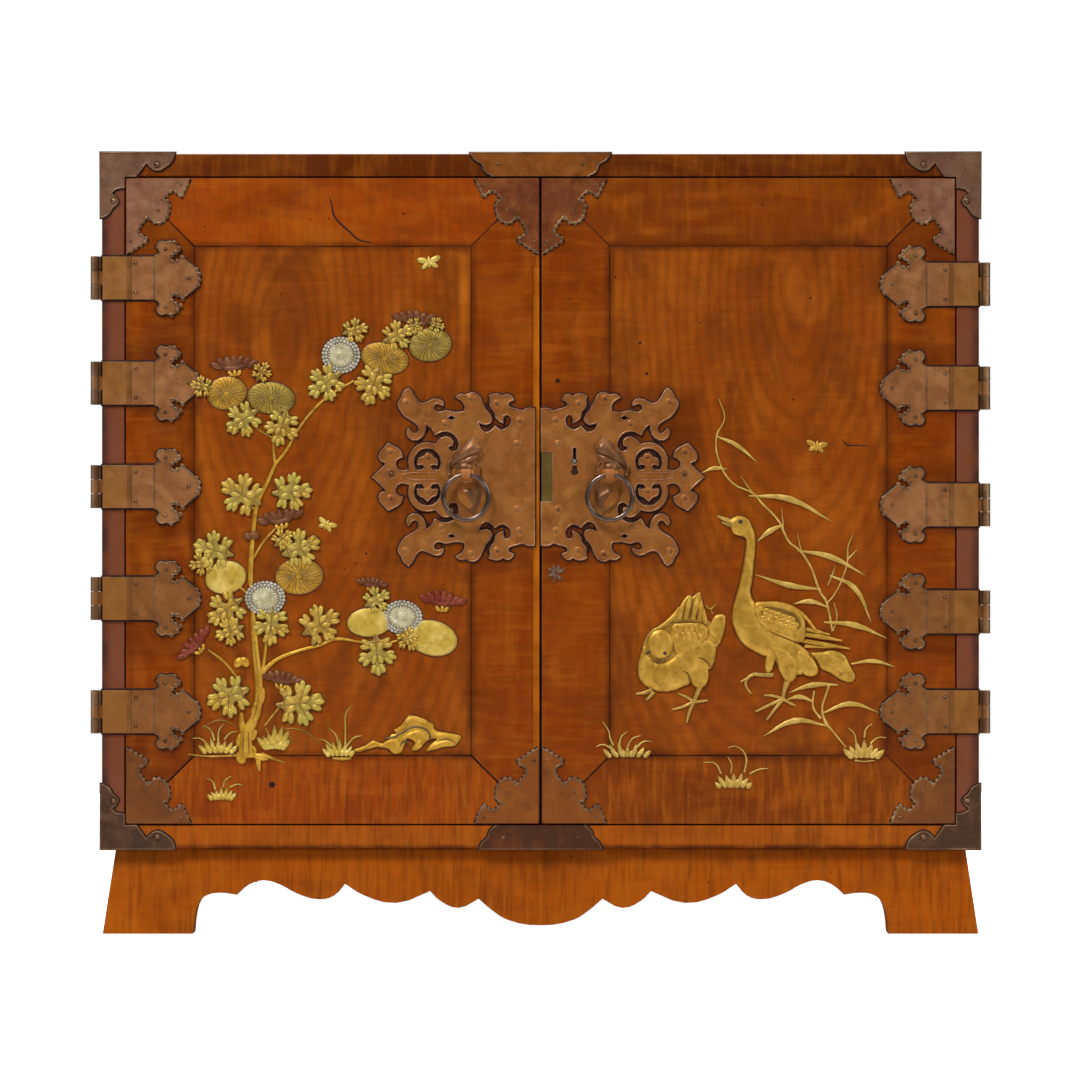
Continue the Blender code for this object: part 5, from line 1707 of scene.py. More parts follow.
@dataclass
class ChrysanthemumDoor(DoorPicture):
    """The left door's picture: chrysanthemums by a stone, with grass and two insects."""

    SIDE = Side.LEFT
    seed: int = 11
    HEADS = (
        Head((224.5, 394.5), (20.5, 17), Bloom.RAYED, 10),
        Head((269.5, 399.5), (24.5, 16.5), Bloom.OLIVE, -6),
        Head((340.5, 356.5), (19.5, 18.5), Bloom.RINGED),
        Head((385, 359.5), (24.5, 16), Bloom.RAYED, -12), Head((431, 346), (22, 17), Bloom.OLIVE, 6),
        Head((223.5, 580), (21, 17), Bloom.PLAIN, 12), Head((298, 579), (24.5, 18.5), Bloom.RAYED, 4),
        Head((263.5, 601), (20.5, 17.5), Bloom.RINGED), Head((369.5, 625), (23, 15), Bloom.PLAIN, 4),
        Head((402.5, 620), (20.5, 17), Bloom.RINGED), Head((433.5, 641), (25.5, 18), Bloom.PLAIN, -14),
    )
    # Middle, length and the way the tip points.
    LEAVES = (
        ((200, 388), 26, 170), ((260, 374), 24, 60), ((242, 421), 42, 215), ((281, 428), 42, 255),
        ((354, 332), 30, 15), ((397, 337), 36, 25), ((326, 384), 44, 215), ((374, 385), 46, 250),
        ((415, 327), 20, 200), ((437, 326), 19, 345), ((241, 497), 50, 150), ((289, 494), 46, 5),
        ((213, 553), 46, 165), ((200, 566), 28, 190), ((298, 551), 46, 20), ((225, 612), 46, 215),
        ((270, 627), 44, 265), ((318, 628), 48, 30), ((377, 656), 46, 275), ((281, 542), 26, 40),
        ((228, 699), 50, 200), ((297, 707), 54, 5), ((376, 603), 32, 30), ((229, 634), 34, 200),
        ((408, 641), 28, 300),
    )
    # Middle, width and the way the petals point.
    SIDE_BLOOMS = (
        ((232, 366), 44, 95), ((417, 321), 46, 85), ((279, 520), 44, 100), ((281, 682), 40, 80),
        ((372, 586), 30, 80),
    )
    RED_BLOOMS = (((192, 647), 42, 135), ((444, 603), 44, 84))
    # Middle, length and width of each brown bud on the stem.
    BUDS = (((245.5, 538.5), 9, 8), ((252.5, 537.5), 11, 8.5))
    # Column, row and half width along each stem and each root.
    STEMS = (
        ((245, 761, 9.0), (244, 746, 7.4), (245, 737, 7.2), (250, 727, 5.6), (255.5, 714, 4.7),
         (257.5, 690, 4.4), (254, 655, 4.0), (251.5, 622, 3.2), (251, 611, 1.2)),
        ((244, 742, 4.4), (240.5, 730, 3.6), (239.5, 716, 2.0)),
        ((249.5, 593, 1.2), (249, 584, 3.0), (249, 570, 3.0), (252, 530, 2.6), (256, 505, 2.4),
         (266, 484, 2.2), (274, 466, 2.0)),
        ((274, 466, 2.0), (272, 452, 1.6), (272, 438, 1.2), (270, 415, 1.0)),
        ((274, 466, 2.0), (286, 451, 1.7), (294, 436, 1.6), (315, 409, 1.5), (329, 397, 1.4),
         (354, 382, 1.2)), ((272, 440, 1.2), (255, 430, 1.1), (240, 412, 1.0)),
        ((255, 682, 3.0), (273, 664, 2.2), (300, 653, 1.9), (320, 648, 1.8), (334, 642, 1.8),
         (360, 645, 1.4)), ((360, 645, 1.4), (385, 646, 1.3), (412, 640, 1.2)),
        ((236, 682, 1.4), (221, 664, 1.6), (206, 653, 1.3)),
        ((257, 690, 2.4), (262, 668, 2.0), (265, 640, 1.8), (266, 615, 1.5)),
        ((263, 729, 1.2), (272, 718, 1.5), (280, 708, 1.0)),
        ((252, 560, 1.6), (262, 544, 1.4), (275, 530, 1.2)),
        ((250, 600, 1.4), (238, 590, 1.3), (226, 584, 1.0)),
        ((253, 512, 1.5), (246, 505, 1.2), (238, 498, 1.0)),
        ((262, 600, 1.3), (280, 592, 1.2), (294, 582, 1.0)),
    )
    ROOTS = (
        ((256, 758, 3.4), (257, 768, 2.8), (258, 775, 1.6)),
        ((260, 758, 2.8), (274, 763, 1.6), (284, 766.5, 0.7)),
        ((185, 758, 0.7), (208.5, 760, 1.3), (236, 759, 1.6)),
        ((199.5, 731, 0.5), (217.5, 723.5, 0.9), (234, 729, 0.6)),
        ((283, 732.5, 0.7), (294, 732, 0.9), (310.5, 739, 0.8), (319.5, 750, 0.5)),
        ((285, 734.5, 0.8), (291.5, 748, 0.5)), ((332, 762, 1.4), (342, 762.5, 2.0), (351, 762, 1.4)),
    )
    # Middle, length, width and lean of each knot on the trunk, and of the halves of a bud.
    KNOTS = (
        ((238.5, 743), 15, 9, 75), ((239.5, 761), 14, 11, 100), ((259.5, 760.5), 16, 8, 170),
        ((251, 739), 14, 8, 60), ((251, 755), 14, 9, 105), ((254.5, 711), 18, 9, 70),
        ((260, 699), 18, 8, 85), ((236.5, 665.5), 12, 9, 55), ((243, 665), 12, 9, 125),
    )
    # Column, row and half width along each line in the trunk's bark, and its lift in millimetres.
    BARK = (
        (((242, 759, 0.4), (241, 748, 0.7), (242.5, 737, 0.4)), 4.9),
        (((248, 757, 0.4), (247.5, 746, 0.7), (247, 735, 0.4)), 4.9),
        (((251, 724, 0.4), (255, 712, 0.6), (257, 697, 0.4)), 3.4),
        (((256.5, 686, 0.4), (255, 665, 0.5), (253, 648, 0.3)), 3.0),
    )
    # Foot, half spread, height and curled blades of each clump of grass.
    CLUMPS = (
        ((216, 757), 17, 16, (((212, 744), (208, 733), (201, 729)), ((216, 745), (217, 733), (222, 727)),
          ((222, 743), (229, 736), (236, 735)), ((206, 749), (198, 742), (190, 742)))),
        ((273, 753), 9, 22, (((270, 752), (268, 740), (264, 731)), ((274, 752), (282, 742), (288, 737)))),
        ((339, 760), 14, 16, (((345, 748), (345, 732), (346, 715.5), (351.5, 709)), ((338, 750),
           (335, 738), (328, 731)), ((346, 750), (354, 741), (362, 739)), ((331, 750), (324, 744),
           (318, 743)))),
        ((219, 804), 12, 14, (((213, 793), (210, 785), (204, 782)), ((221, 791), (223, 784), (229, 780)),
          ((228, 791), (235, 788), (241, 789)))),
    )
    STONE = (
        (354, 752.5), (363, 750), (372.5, 743.5), (381.5, 746.5), (387, 744.5), (390.5, 738),
        (396, 736.5), (394, 732.5), (403, 730), (405, 722.5), (410.5, 718), (419.5, 720), (427, 724.5),
        (434, 726.5), (437, 733.5), (447, 735.5), (457.5, 737.5), (463, 740), (459.5, 746.5), (456, 750),
        (445, 751), (436, 753.5), (427, 755), (430.5, 748), (437.5, 742.5), (428.5, 744.5), (421.5, 752),
        (416, 754.5), (411.5, 753.5), (415, 746.5), (408.5, 742.5), (405, 750), (401.5, 756.5),
        (394, 757.5), (387, 752.5), (377.5, 751), (367, 753.5), (357, 756),
    )
    # Column, row and half width along each ridge of the stone, and along each hollow in it, where a dark
    # line paints its shade.
    RIDGES = (
        ((396, 735, 2.0), (404, 729.5, 2.8), (410.5, 722.5, 3.2), (421, 723.5, 3.0), (430.5, 729, 2.8),
         (435.5, 737.5, 2.4), (447, 739, 2.8), (459, 742, 2.4)),
        ((357, 753.5, 1.6), (366, 750.5, 2.0), (374, 746.5, 2.4), (382, 749, 1.9), (389, 745.5, 2.4),
         (397, 746, 2.8), (396, 754, 2.4)),
        ((404.5, 741.5, 2.2), (411, 738, 2.8), (420, 736, 3.0), (424.5, 740, 2.8), (419, 747, 2.6),
         (414, 752, 2.0)), ((449, 745, 2.2), (439, 747.5, 2.6), (430, 753, 1.8)),
    )
    HOLLOWS = (
        ((393, 740.5, 0.7), (403, 736, 1.2), (411, 731, 1.2), (421, 730.5, 1.2), (430, 736, 1.3),
         (431, 743, 1.4)), ((401, 749, 0.8), (404.5, 744.5, 1.2), (409, 747, 1.0)),
        ((384, 741.5, 0.6), (391, 741, 1.0), (398, 740.5, 0.7)),
        ((440, 743, 0.6), (449, 742.5, 0.9), (457, 746, 0.5)),
    )
    # Middle, length and the way the head points.
    INSECTS = (((326, 527), 11, 65), ((430, 263), 13, 97))
    # Petals of a rayed head, height of its dome and of a plain head's in millimetres, half the width of its
    # painted shadow and of the dark lines of painted shade between its petals, and how far those turn.
    PETALS = 26
    DOME = 2.4
    PLAIN_DOME = 3.0
    HEAD_SHADOW = 1.4
    GROOVE = 0.42 * MM
    SWIRL = 0.25
    # Where the rings of beads on a silver head start and end, as shares of its half size, and their count.
    BEAD_RINGS = ((0.85, 1.01, 28), (0.69, 0.85, 26))
    # Where the cream petals in it start and end, and the size, height and lift of what swells in its middle.
    CREAM = (0.26, 0.68)
    HEARTS = ((Stock.SWELLING, 0.36, 0.9, -0.3), (Stock.ROUND, 0.24, 1.1, 0.2))
    # Where each bulge of a leaf sits along and across it, as shares of its length, and the way it points.
    BULGES = (
        (0.4, 0.0, 0), (0.34, 0.1, 25), (0.34, -0.1, -25), (0.19, 0.25, 50), (0.19, -0.25, -50),
        (0.11, 0.33, 75), (0.11, -0.33, -75), (0.02, 0.29, 95), (0.02, -0.29, -95), (-0.15, 0.26, 100),
        (-0.15, -0.26, -100), (-0.25, 0.23, 125), (-0.25, -0.23, -125), (0.14, 0.07, 20),
        (0.14, -0.07, -20), (-0.14, 0.08, 150), (-0.14, -0.08, -150),
    )
    BULGE_SIZE = (0.21, 0.12)
    # Where each vein of a leaf starts and ends along it, and how far across, as shares of its length.
    VEINS = (
        (-0.4, 0.44, 0.0), (0.02, 0.18, 0.36), (0.02, 0.18, -0.36), (-0.26, -0.21, 0.28),
        (-0.26, -0.21, -0.28), (0.1, 0.38, 0.11), (0.1, 0.38, -0.11),
    )
    VEIN_HALVES = (0.8, 0.7, 0.3)
    # Edge of half a leaf from its tip, along and across, as shares of its length, and how far it wanders.
    LEAF_EDGE = (
        (0.5, 0.0), (0.45, 0.08), (0.43, 0.15), (0.36, 0.12), (0.3, 0.17), (0.19, 0.1), (0.24, 0.23),
        (0.27, 0.33), (0.2, 0.33), (0.14, 0.42), (0.07, 0.36), (0.0, 0.39), (-0.01, 0.27), (-0.06, 0.15),
        (-0.13, 0.24), (-0.15, 0.35), (-0.22, 0.3), (-0.3, 0.32), (-0.32, 0.2), (-0.28, 0.1),
        (-0.42, 0.04),
    )
    WANDER = 0.02
    # Across, up and half width along the base of a side bloom, the first two as shares of its width.
    BLOOM_BASE = ((-0.34, 0.02, 1.4), (-0.16, -0.07, 3.0), (0.16, -0.07, 3.0), (0.34, 0.02, 1.4))

    def build(self) -> None:
        """Raise the whole picture."""
        for head in self.HEADS:
            self._head(head)
        for leaf in self.LEAVES:
            self._leaf(*leaf)
        for heap, blooms in (("side", self.SIDE_BLOOMS), ("red", self.RED_BLOOMS)):
            for bloom in blooms:
                self._side_bloom(f"chrysanthemum_{heap}_blooms", *bloom)
        self.strokes("chrysanthemum_stems", self.STEMS, 0.5)
        self.strokes("chrysanthemum_roots", self.ROOTS, 0.3)
        for clump in self.CLUMPS:
            self.clump("chrysanthemum_grass", *clump)
        for middle, length, width, turn in self.KNOTS:
            self.lump("chrysanthemum_stems", Stock.ROUND, middle, turn, (length, width, 0.3 * width), 0.6)
        for middle, length, width in self.BUDS:
            self.lump("chrysanthemum_side_blooms", Stock.ROUND, middle, 0.0, (length, width, 3.4), 1.6)
        for line, lift in self.BARK:
            self.stroke("chrysanthemum_veins", line, lift)
        self.cushion("garden_stone", self.STONE, 2.4, 4.0)
        self.strokes("garden_stone", self.RIDGES, 1.7)
        self.strokes("chrysanthemum_shade_lines", self.HOLLOWS, 2.5)
        for insect in self.INSECTS:
            self.insect("left_insects", *insect)
        self._dress()

    def _dress(self) -> None:
        """Dust every heap with its metal, or lacquer it."""
        rise = self.depths(0.1, 1.5)
        gold = dusted("dusted_gold", "#ba8922", "#e0b042", "#543410", rise)
        olive = dusted("olive_gold", "#a4862c", "#caae50", "#403010", rise)
        pale = dusted("pale_gold", "#bc9c34", "#e2c86c", "#6a4e18", rise, 0.3)
        leaf = dusted("leaf_gold", "#b48e2a", "#dab650", "#4a300e", self.depths(0.2, 3.3), 0.3)
        green = Layer("#a8a246", (48 * MM,) * 3, 0.46, 0.56, 0.42, detail=1.0)
        silver = dusted("dusted_silver", "#a09886", "#d2cebe", "#463a2a", rise, 0.2)
        brown = dusted("brown_lacquer", "#62341a", "#8a5c3a", "#2e1506", rise, 0.1)
        red = dusted("red_lacquer", "#702a18", "#8e4a36", "#2c0f0a", rise, 0.1)
        self.finish({
            "chrysanthemum_grounds": dusted("tarnished_silver", "#7a705a", "#928870", "#3c3222", rise, 0.2),
            "chrysanthemum_gold_heads": gold,
            "chrysanthemum_plain_heads": pale,
            "chrysanthemum_olive_heads": olive,
            "chrysanthemum_shade_lines": dusted("painted_shade_gold", "#584018", "#6e5224", "#34220a", rise, 0.1),
            "chrysanthemum_white_petals": silver,
            "chrysanthemum_cream_petals": dusted("dusted_cream", "#aea37e", "#d8d0ae", "#544830", rise, 0.2),
            "chrysanthemum_side_blooms": replace(brown, specular=0.2),
            "chrysanthemum_red_blooms": replace(red, specular=0.2),
            "chrysanthemum_leaves": replace(leaf, layers=(*leaf.layers, green)),
            "chrysanthemum_veins": dusted("vein_gold", "#7c5c1e", "#94722c", "#48300e", rise, 0.3),
            "chrysanthemum_stems": gold,
            "chrysanthemum_roots": gold,
            "chrysanthemum_grass": pale,
            "garden_stone": gold,
            "left_insects": pale,
        })

    def _head(self, head: Head) -> None:
        """Raise one flower head: a low dome with its petals on it.

        Args:
            head: where it is and how its petals lie.
        """
        length, width = 2 * head.half[0], 2 * head.half[1]
        edge = [beside(head.at, head.spoke(math.radians(step * 15))) for step in range(24)]
        self.outline(edge, self.HEAD_SHADOW)
        dome = (length, width, self.DOME)
        if head.kind is Bloom.PLAIN:
            dome = (length, width, self.PLAIN_DOME)
            self.lump("chrysanthemum_plain_heads", Stock.SWELLING, head.at, head.turn, dome)
            return
        if head.kind is Bloom.RINGED:
            self.lump("chrysanthemum_grounds", Stock.SWELLING, head.at, head.turn, dome)
            for ring in self.BEAD_RINGS:
                self._petals(head, "chrysanthemum_white_petals", *ring, 1.2, Stock.ROUND)
            heap = "chrysanthemum_cream_petals"
            self._petals(head, heap, *self.CREAM, self.PETALS, 0.8, Stock.POINTED)
            for stock, share, height, lift in self.HEARTS:
                size = (share * length, share * width, height)
                self.lump(heap, stock, head.at, head.turn, size, self.DOME + lift)
            return
        heap = f"chrysanthemum_{'gold' if head.kind is Bloom.RAYED else 'olive'}_heads"
        self.lump(heap, Stock.SWELLING, head.at, head.turn, dome)
        self._grooves(head)

    def _grooves(self, head: Head) -> None:
        """Paint the shade between the petals on a head's dome as dark lines.

        Args:
            head: the head.
        """
        middle = self.face.at(*head.at)
        for index in range(self.PETALS):
            start = 2 * math.pi * (index + self.draw.uniform(-0.2, 0.2)) / self.PETALS
            knots = []
            for share in ((0.12 if index % 2 else 0.3), 0.62, 0.95):
                spoke = head.spoke(start + self.SWIRL * share * share) * self.face.unit * share
                spoke.y = -self.DOME * math.sqrt(1 - share * share) * MM
                knots.append((middle + spoke, self.GROOVE * (1.15 - 0.4 * share)))
            self.relief.line("chrysanthemum_shade_lines", knots)

    def _petals(self, head: Head, heap: str, inner: float, outer: float, count: int, height: float,
                stock: Stock) -> None:
        """Lay a ring of petals on a head's dome.

        Args:
            head: the head.
            heap: the piece that they go to.
            inner: where they start, as a share of the head's half size.
            outer: where they end.
            count: how many there are.
            height: how far they stand off the dome, in millimetres.
            stock: their shape, with its tip towards the middle.
        """
        unit = self.face.unit
        middle = self.face.at(*head.at)
        ends = (inner, min(outer, 0.97))
        high, low = (self.DOME * math.sqrt(max(0.0, 1 - share * share)) for share in ends)
        pitch = 2 * math.pi * outer * unit * (head.half[0] + head.half[1]) / 2 / count
        for index in range(count):
            spoke = head.spoke(2 * math.pi * (index + 0.5 * (inner > 0.6)) / count) * unit
            reach = spoke * (outer - inner)
            turn = math.degrees(math.atan2(-reach.z, -reach.x))
            size = (reach.length, 0.86 * pitch, height * MM)
            self.relief.lump(heap, stock, middle + spoke * (inner + outer) / 2, turn, size,
                             (high + low) / 2 * MM, (high - low) / 2 * MM)

    def _leaf(self, middle: Point, length: float, turn: float) -> None:
        """Raise one deeply cut leaf with rounded teeth.

        Args:
            middle: its middle.
            length: its length.
            turn: the way its tip points.
        """

        def at(forth: float, across: float) -> Point:
            """Place on the leaf, in shares of its length."""
            return beside(middle, (heading(turn) * forth + heading(turn + 90) * across) * length)

        edge = []
        other_half = [(forth, -across) for forth, across in self.LEAF_EDGE[:0:-1]]
        for forth, across in (*self.LEAF_EDGE, *other_half):
            wander = [self.draw.uniform(-self.WANDER, self.WANDER) * length for axis in range(2)]
            column, row = at(forth, across)
            edge.append((column + wander[0], row + wander[1]))
        self.cushion("chrysanthemum_leaves", edge, 2.2, 3.4)
        size = (self.BULGE_SIZE[0] * length, self.BULGE_SIZE[1] * length, 1.7)
        for forth, across, lean in self.BULGES:
            self.lump("chrysanthemum_leaves", Stock.ROUND, at(forth, across), turn + lean, size, 1.8)
        for start, stop, across in self.VEINS:
            points = at(start, 0), at((start + stop) / 2, across / 2), at(stop, across)
            vein = [(*spot, half) for spot, half in zip(points, self.VEIN_HALVES)]
            self.stroke("chrysanthemum_veins", vein, 2.15)

    def _side_bloom(self, heap: str, middle: Point, width: float, turn: float) -> None:
        """Raise a flower seen from its side: a fan of dark petals on a gold cup.

        Args:
            heap: the piece that its petals go to.
            middle: its middle.
            width: its width.
            turn: the way its petals point.
        """

        def at(across: float, rise: float) -> Point:
            """Place on the flower, in shares of its width."""
            return beside(middle, (heading(turn - 90) * across + heading(turn) * rise) * width)

        self.stroke(heap, [(*at(across, rise), half) for across, rise, half in self.BLOOM_BASE], 0.4)
        petal, sepal = (0.3 * width, 0.16 * width, 2.2), (0.17 * width, 0.1 * width, 1.9)
        for step in range(-3, 4):
            rise = 0.07 - 0.008 * step * step + self.draw.uniform(-0.02, 0.02)
            self.lump(heap, Stock.ROUND, at(0.14 * step, rise), turn - 21 * step, petal, 0.3)
        for step in (-1, 0, 1):
            self.lump("chrysanthemum_stems", Stock.ROUND, at(0.1 * step, -0.2), turn - 40 * step, sepal, 0.3)


@dataclass
class GooseDoor(DoorPicture):
    """The right door's picture: two geese under a reed, with grass and an insect."""

    SIDE = Side.RIGHT
    seed: int = 23
    # Column, row and half width along each part of the reed's stem.
    REED = (
        ((722, 400, 0.5), (728, 420, 0.8), (720, 438, 0.9), (724, 467, 1.0), (737, 486, 1.1),
         (757, 496, 1.1), (764.5, 505, 1.1), (782, 524, 1.1), (786, 533, 1.2), (792, 544.5, 1.2),
         (799.5, 550.5, 1.2), (805.5, 556.5, 1.3)),
        ((805.5, 556.5, 1.5), (814, 571, 1.1), (818.5, 584, 1.4), (823, 596, 1.2), (827.5, 602, 1.5),
         (831.5, 616.5, 1.2), (834.5, 634, 1.2)),
        ((831.5, 687, 1.2), (827.5, 700, 1.4), (824.5, 710.5, 1.2), (827.5, 725, 1.6), (836, 736, 1.2),
         (848, 751, 0.8)), ((816.5, 694, 1.0), (815.5, 710.5, 1.2), (823, 722, 1.2)),
        ((784, 511, 0.4), (785, 518, 0.7), (786, 532, 0.9)),
        ((855, 537, 0.4), (850, 549, 0.8), (849.5, 562, 1.0), (846.5, 575.5, 0.9), (836, 598, 0.9),
         (829, 606, 0.8)), ((859, 552, 0.4), (849.5, 562, 0.9)),
        ((838, 568, 0.4), (834, 578, 0.8), (830, 588, 0.6)),
        ((836, 605, 0.5), (839, 619.5, 0.8), (835, 634, 0.9)),
        ((744, 478, 0.4), (752, 490, 0.8), (760, 500, 0.9)),
        ((800, 536, 0.4), (802, 546, 0.8), (804, 556, 0.9)),
    )
    # Start, bend and tip of each reed leaf, and half its width at the bend.
    REED_LEAVES = (
        ((720, 438), (740, 447), (760, 464), 2.8), ((730, 471), (718, 470), (705, 475), 2.6),
        ((752, 498), (792, 501), (834, 524), 3.8), ((786, 527), (773, 533), (760, 544), 3.4),
        ((800, 553), (832, 559), (867, 578), 3.6), ((823, 592), (792, 588), (758, 577), 3.6),
        ((832, 578), (856, 590), (873, 625), 3.2), ((830, 610), (812, 604), (795, 607), 3.2),
        ((826, 625), (857, 628), (888, 641), 3.6), ((853, 667), (875, 664), (897, 670), 2.6),
        ((840, 688), (815, 688), (791, 696), 3.4), ((816, 705), (802, 700), (789, 703), 3.0),
        ((824, 717), (852, 707), (881, 716), 3.2), ((829, 729), (797, 724), (766, 740), 3.6),
    )
    # Foot, half spread, height and curled blades of each clump of grass.
    CLUMPS = (
        ((632, 761), 23, 15, (((618, 749), (615, 742), (613.5, 734.5), (607.5, 725)), ((624, 748),
           (626, 740), (632, 735)), ((632, 750), (637, 742), (645, 739)), ((641, 751), (648, 745),
           (656, 745)), ((616, 752), (608, 748), (601, 750)))),
        ((737, 792), 18, 16, (((747.5, 776), (749, 759.5), (739.5, 750), (731, 751)), ((734, 777),
           (735, 768), (731, 760)), ((724.5, 777), (718.5, 767), (707, 766)), ((753, 777.5), (762, 773),
           (771, 772)))),
        ((866, 762), 16, 19, (((858, 746), (856, 737), (850, 731)), ((866, 741), (868, 732), (874, 727)),
          ((872, 747), (880, 741), (888, 741)), ((856.5, 764), (866, 765), (876.5, 764)))),
    )
    # Edges of the parts of the goose that stands.
    STANDING = (
        (730.5, 524), (737, 519), (743.5, 517.5), (750.5, 521), (755.5, 528.5), (758.5, 537.5),
        (759, 549), (757.5, 566.5), (756, 581), (754, 593), (755.5, 600.5), (758.5, 606), (764, 618),
        (778, 632), (792, 640), (804, 648), (814, 658), (820, 669), (820.5, 675), (815.5, 679),
        (805.5, 678), (798, 679.5), (792, 684.5), (786, 681), (780.5, 669), (774.5, 660.5), (765.5, 659),
        (754, 653), (745, 646), (739.5, 637), (735.5, 625), (735.5, 613.5), (738, 602), (741.5, 590),
        (745, 574), (747.5, 559.5), (749, 543), (745, 538.5), (739.5, 533), (734, 528),
    )
    WING = (
        (758.5, 606), (771.5, 604.5), (786, 606), (798, 612), (806, 621), (808, 632.5), (806, 643),
        (799.5, 645), (789, 641), (774.5, 635), (764.5, 628), (758.5, 617),
    )
    # A darker patch under the wing's small feathers: painted shade in the gaps between them.
    SCALE_GROUND = (
        (761.5, 609), (772, 607.5), (785, 609.5), (796, 614), (803, 621), (805, 629), (800, 634),
        (789, 631.5), (776, 627.5), (766, 621.5), (761.5, 615),
    )
    THIGH = (
        (773, 650), (779, 660.5), (782, 673.5), (789, 684.5), (796.5, 683), (800, 673.5), (798, 663.5),
        (792, 656), (783, 650),
    )
    RUMP = (
        (798, 657.5), (804, 668), (805.5, 676.5), (812.5, 679.5), (820, 676), (819, 668), (812.5, 659),
        (804, 653),
    )
    TAIL = (
        (812.5, 656), (824.5, 654.5), (834.5, 653), (846.5, 657.5), (852, 668), (857.5, 678),
        (856.5, 683), (851, 686), (842, 683), (831.5, 676), (823, 672), (818.5, 663.5),
    )
    # Edge, height, reach and lift of each part, in millimetres from the second on.
    STANDING_PARTS = (
        (STANDING, 4.0, 9.0, 0.2), (TAIL, 2.6, 6.0, 0.4), (WING, 1.6, 4.0, 3.9), (THIGH, 2.0, 5.0, 3.3),
        (RUMP, 1.8, 5.0, 3.1),
    )
    # Stock shape, middle, turn, size and lift of what swells on it, and middle, width and lift of its eye.
    STANDING_SWELLS = (
        (Stock.SWELLING, (744, 528.5), 20, (20, 19, 1.6), 3.2),
        (Stock.ROUND, (773, 664), 80, (25, 10, 2.8), 0.8),
    )
    STANDING_EYES = (((743.5, 524), 4.4, 4.4),)
    # First of the small feathers on its wing, steps along a row and to the next, counts of rows and of
    # feathers in a row, and the way they point.
    SCALE_START = (765, 611.5)
    ALONG_ROW = (5.8, 2.0)
    NEXT_ROW = (1.2, 4.8)
    SCALE_ROWS = (3, 6)
    SCALE_TURN = -24
    # Column, row and half width along each of its feathers, and how far they stand up in millimetres.
    LONG_FEATHERS = (
        (((804, 631, 2.2), (818, 634, 2.4), (832, 637.5, 0.9)), 2.2),
        (((805, 637, 2.4), (825, 640, 2.6), (844, 643.5, 0.9)), 2.2),
        (((805, 643.5, 2.4), (828, 647.5, 2.6), (851.5, 651.5, 0.9)), 2.0),
        (((807, 649, 2.0), (834.5, 650.5, 0.8)), 1.6),
        (((758.5, 606, 1.4), (786, 607, 2.0), (803.5, 616, 2.0), (818, 633, 1.2)), 4.0),
        (((766, 626, 1.4), (786, 634.5, 2.0), (804, 640.5, 1.2)), 5.0),
        (((826, 657, 0.8), (842, 664, 1.1), (854, 679, 0.8)), 3.0),
        (((824, 664, 0.8), (838, 671, 1.1), (852, 683, 0.8)), 3.0),
    )
    STANDING_FEET = (
        ((735, 525, 3.4), (728, 521.5, 2.4), (721, 518, 1.1)), ((734, 528, 2.0), (725, 524.5, 0.9)),
        ((776, 678, 2.6), (766, 678, 2.2), (757, 677, 2.0)),
        ((757, 677, 2.0), (750, 682, 1.7), (749, 688, 1.6), (754, 697, 1.1)),
        ((751, 681, 1.6), (744, 685, 1.0)), ((790, 684, 3.4), (787, 694, 2.4), (785.5, 702, 2.0)),
        ((785.5, 702, 1.9), (776, 699, 1.6), (767, 698.5, 1.0)),
        ((785.5, 702, 2.0), (771, 709, 1.7), (758.5, 715, 1.1)),
        ((785.5, 702, 2.0), (777, 713, 1.7), (769.5, 723.5, 1.1)),
        ((785.5, 702, 2.0), (792, 706, 1.6), (798, 709, 1.0)),
    )
    # Edges of the parts of the goose that preens.
    PREENING = (
        (649.5, 647), (644, 659.5), (642, 674), (644.5, 683.5), (652, 691), (663.5, 695), (676, 694.5),
        (686.5, 690.5), (693.5, 687.5), (698, 680.5), (707.5, 675), (715.5, 671), (719.5, 659.5),
        (719.5, 649), (713.5, 642), (704, 642), (692.5, 646), (682.5, 653), (676, 660.5), (666.5, 664.5),
        (658, 661.5), (652, 656),
    )
    PREENING_BACK = (
        (646, 652), (650, 640), (657, 632), (667, 626.5), (680, 617), (696, 616), (711, 622), (720, 634),
        (722, 648), (715, 652), (703, 648), (690, 655), (676, 664), (660, 664), (650, 660),
    )
    PREENING_TAIL = (
        (714.5, 625), (719, 618), (727, 617), (729.5, 621.5), (728, 633), (725, 642.5), (722, 647.5),
        (719.5, 642.5), (713.5, 637), (711.5, 633),
    )
    COVERTS = (
        (677, 627), (685, 625.5), (696, 624.5), (706, 626), (712, 635), (707, 645), (696, 650),
        (688.5, 654), (681, 657), (677, 648), (674, 636),
    )
    FAN = (
        (680, 618.5), (685.5, 605), (692.5, 597.5), (696, 599.5), (698, 597.5), (704, 594.5), (706, 603),
        (711.5, 625), (706, 627), (696, 626), (685, 627), (676, 628.5), (667, 627.5),
    )
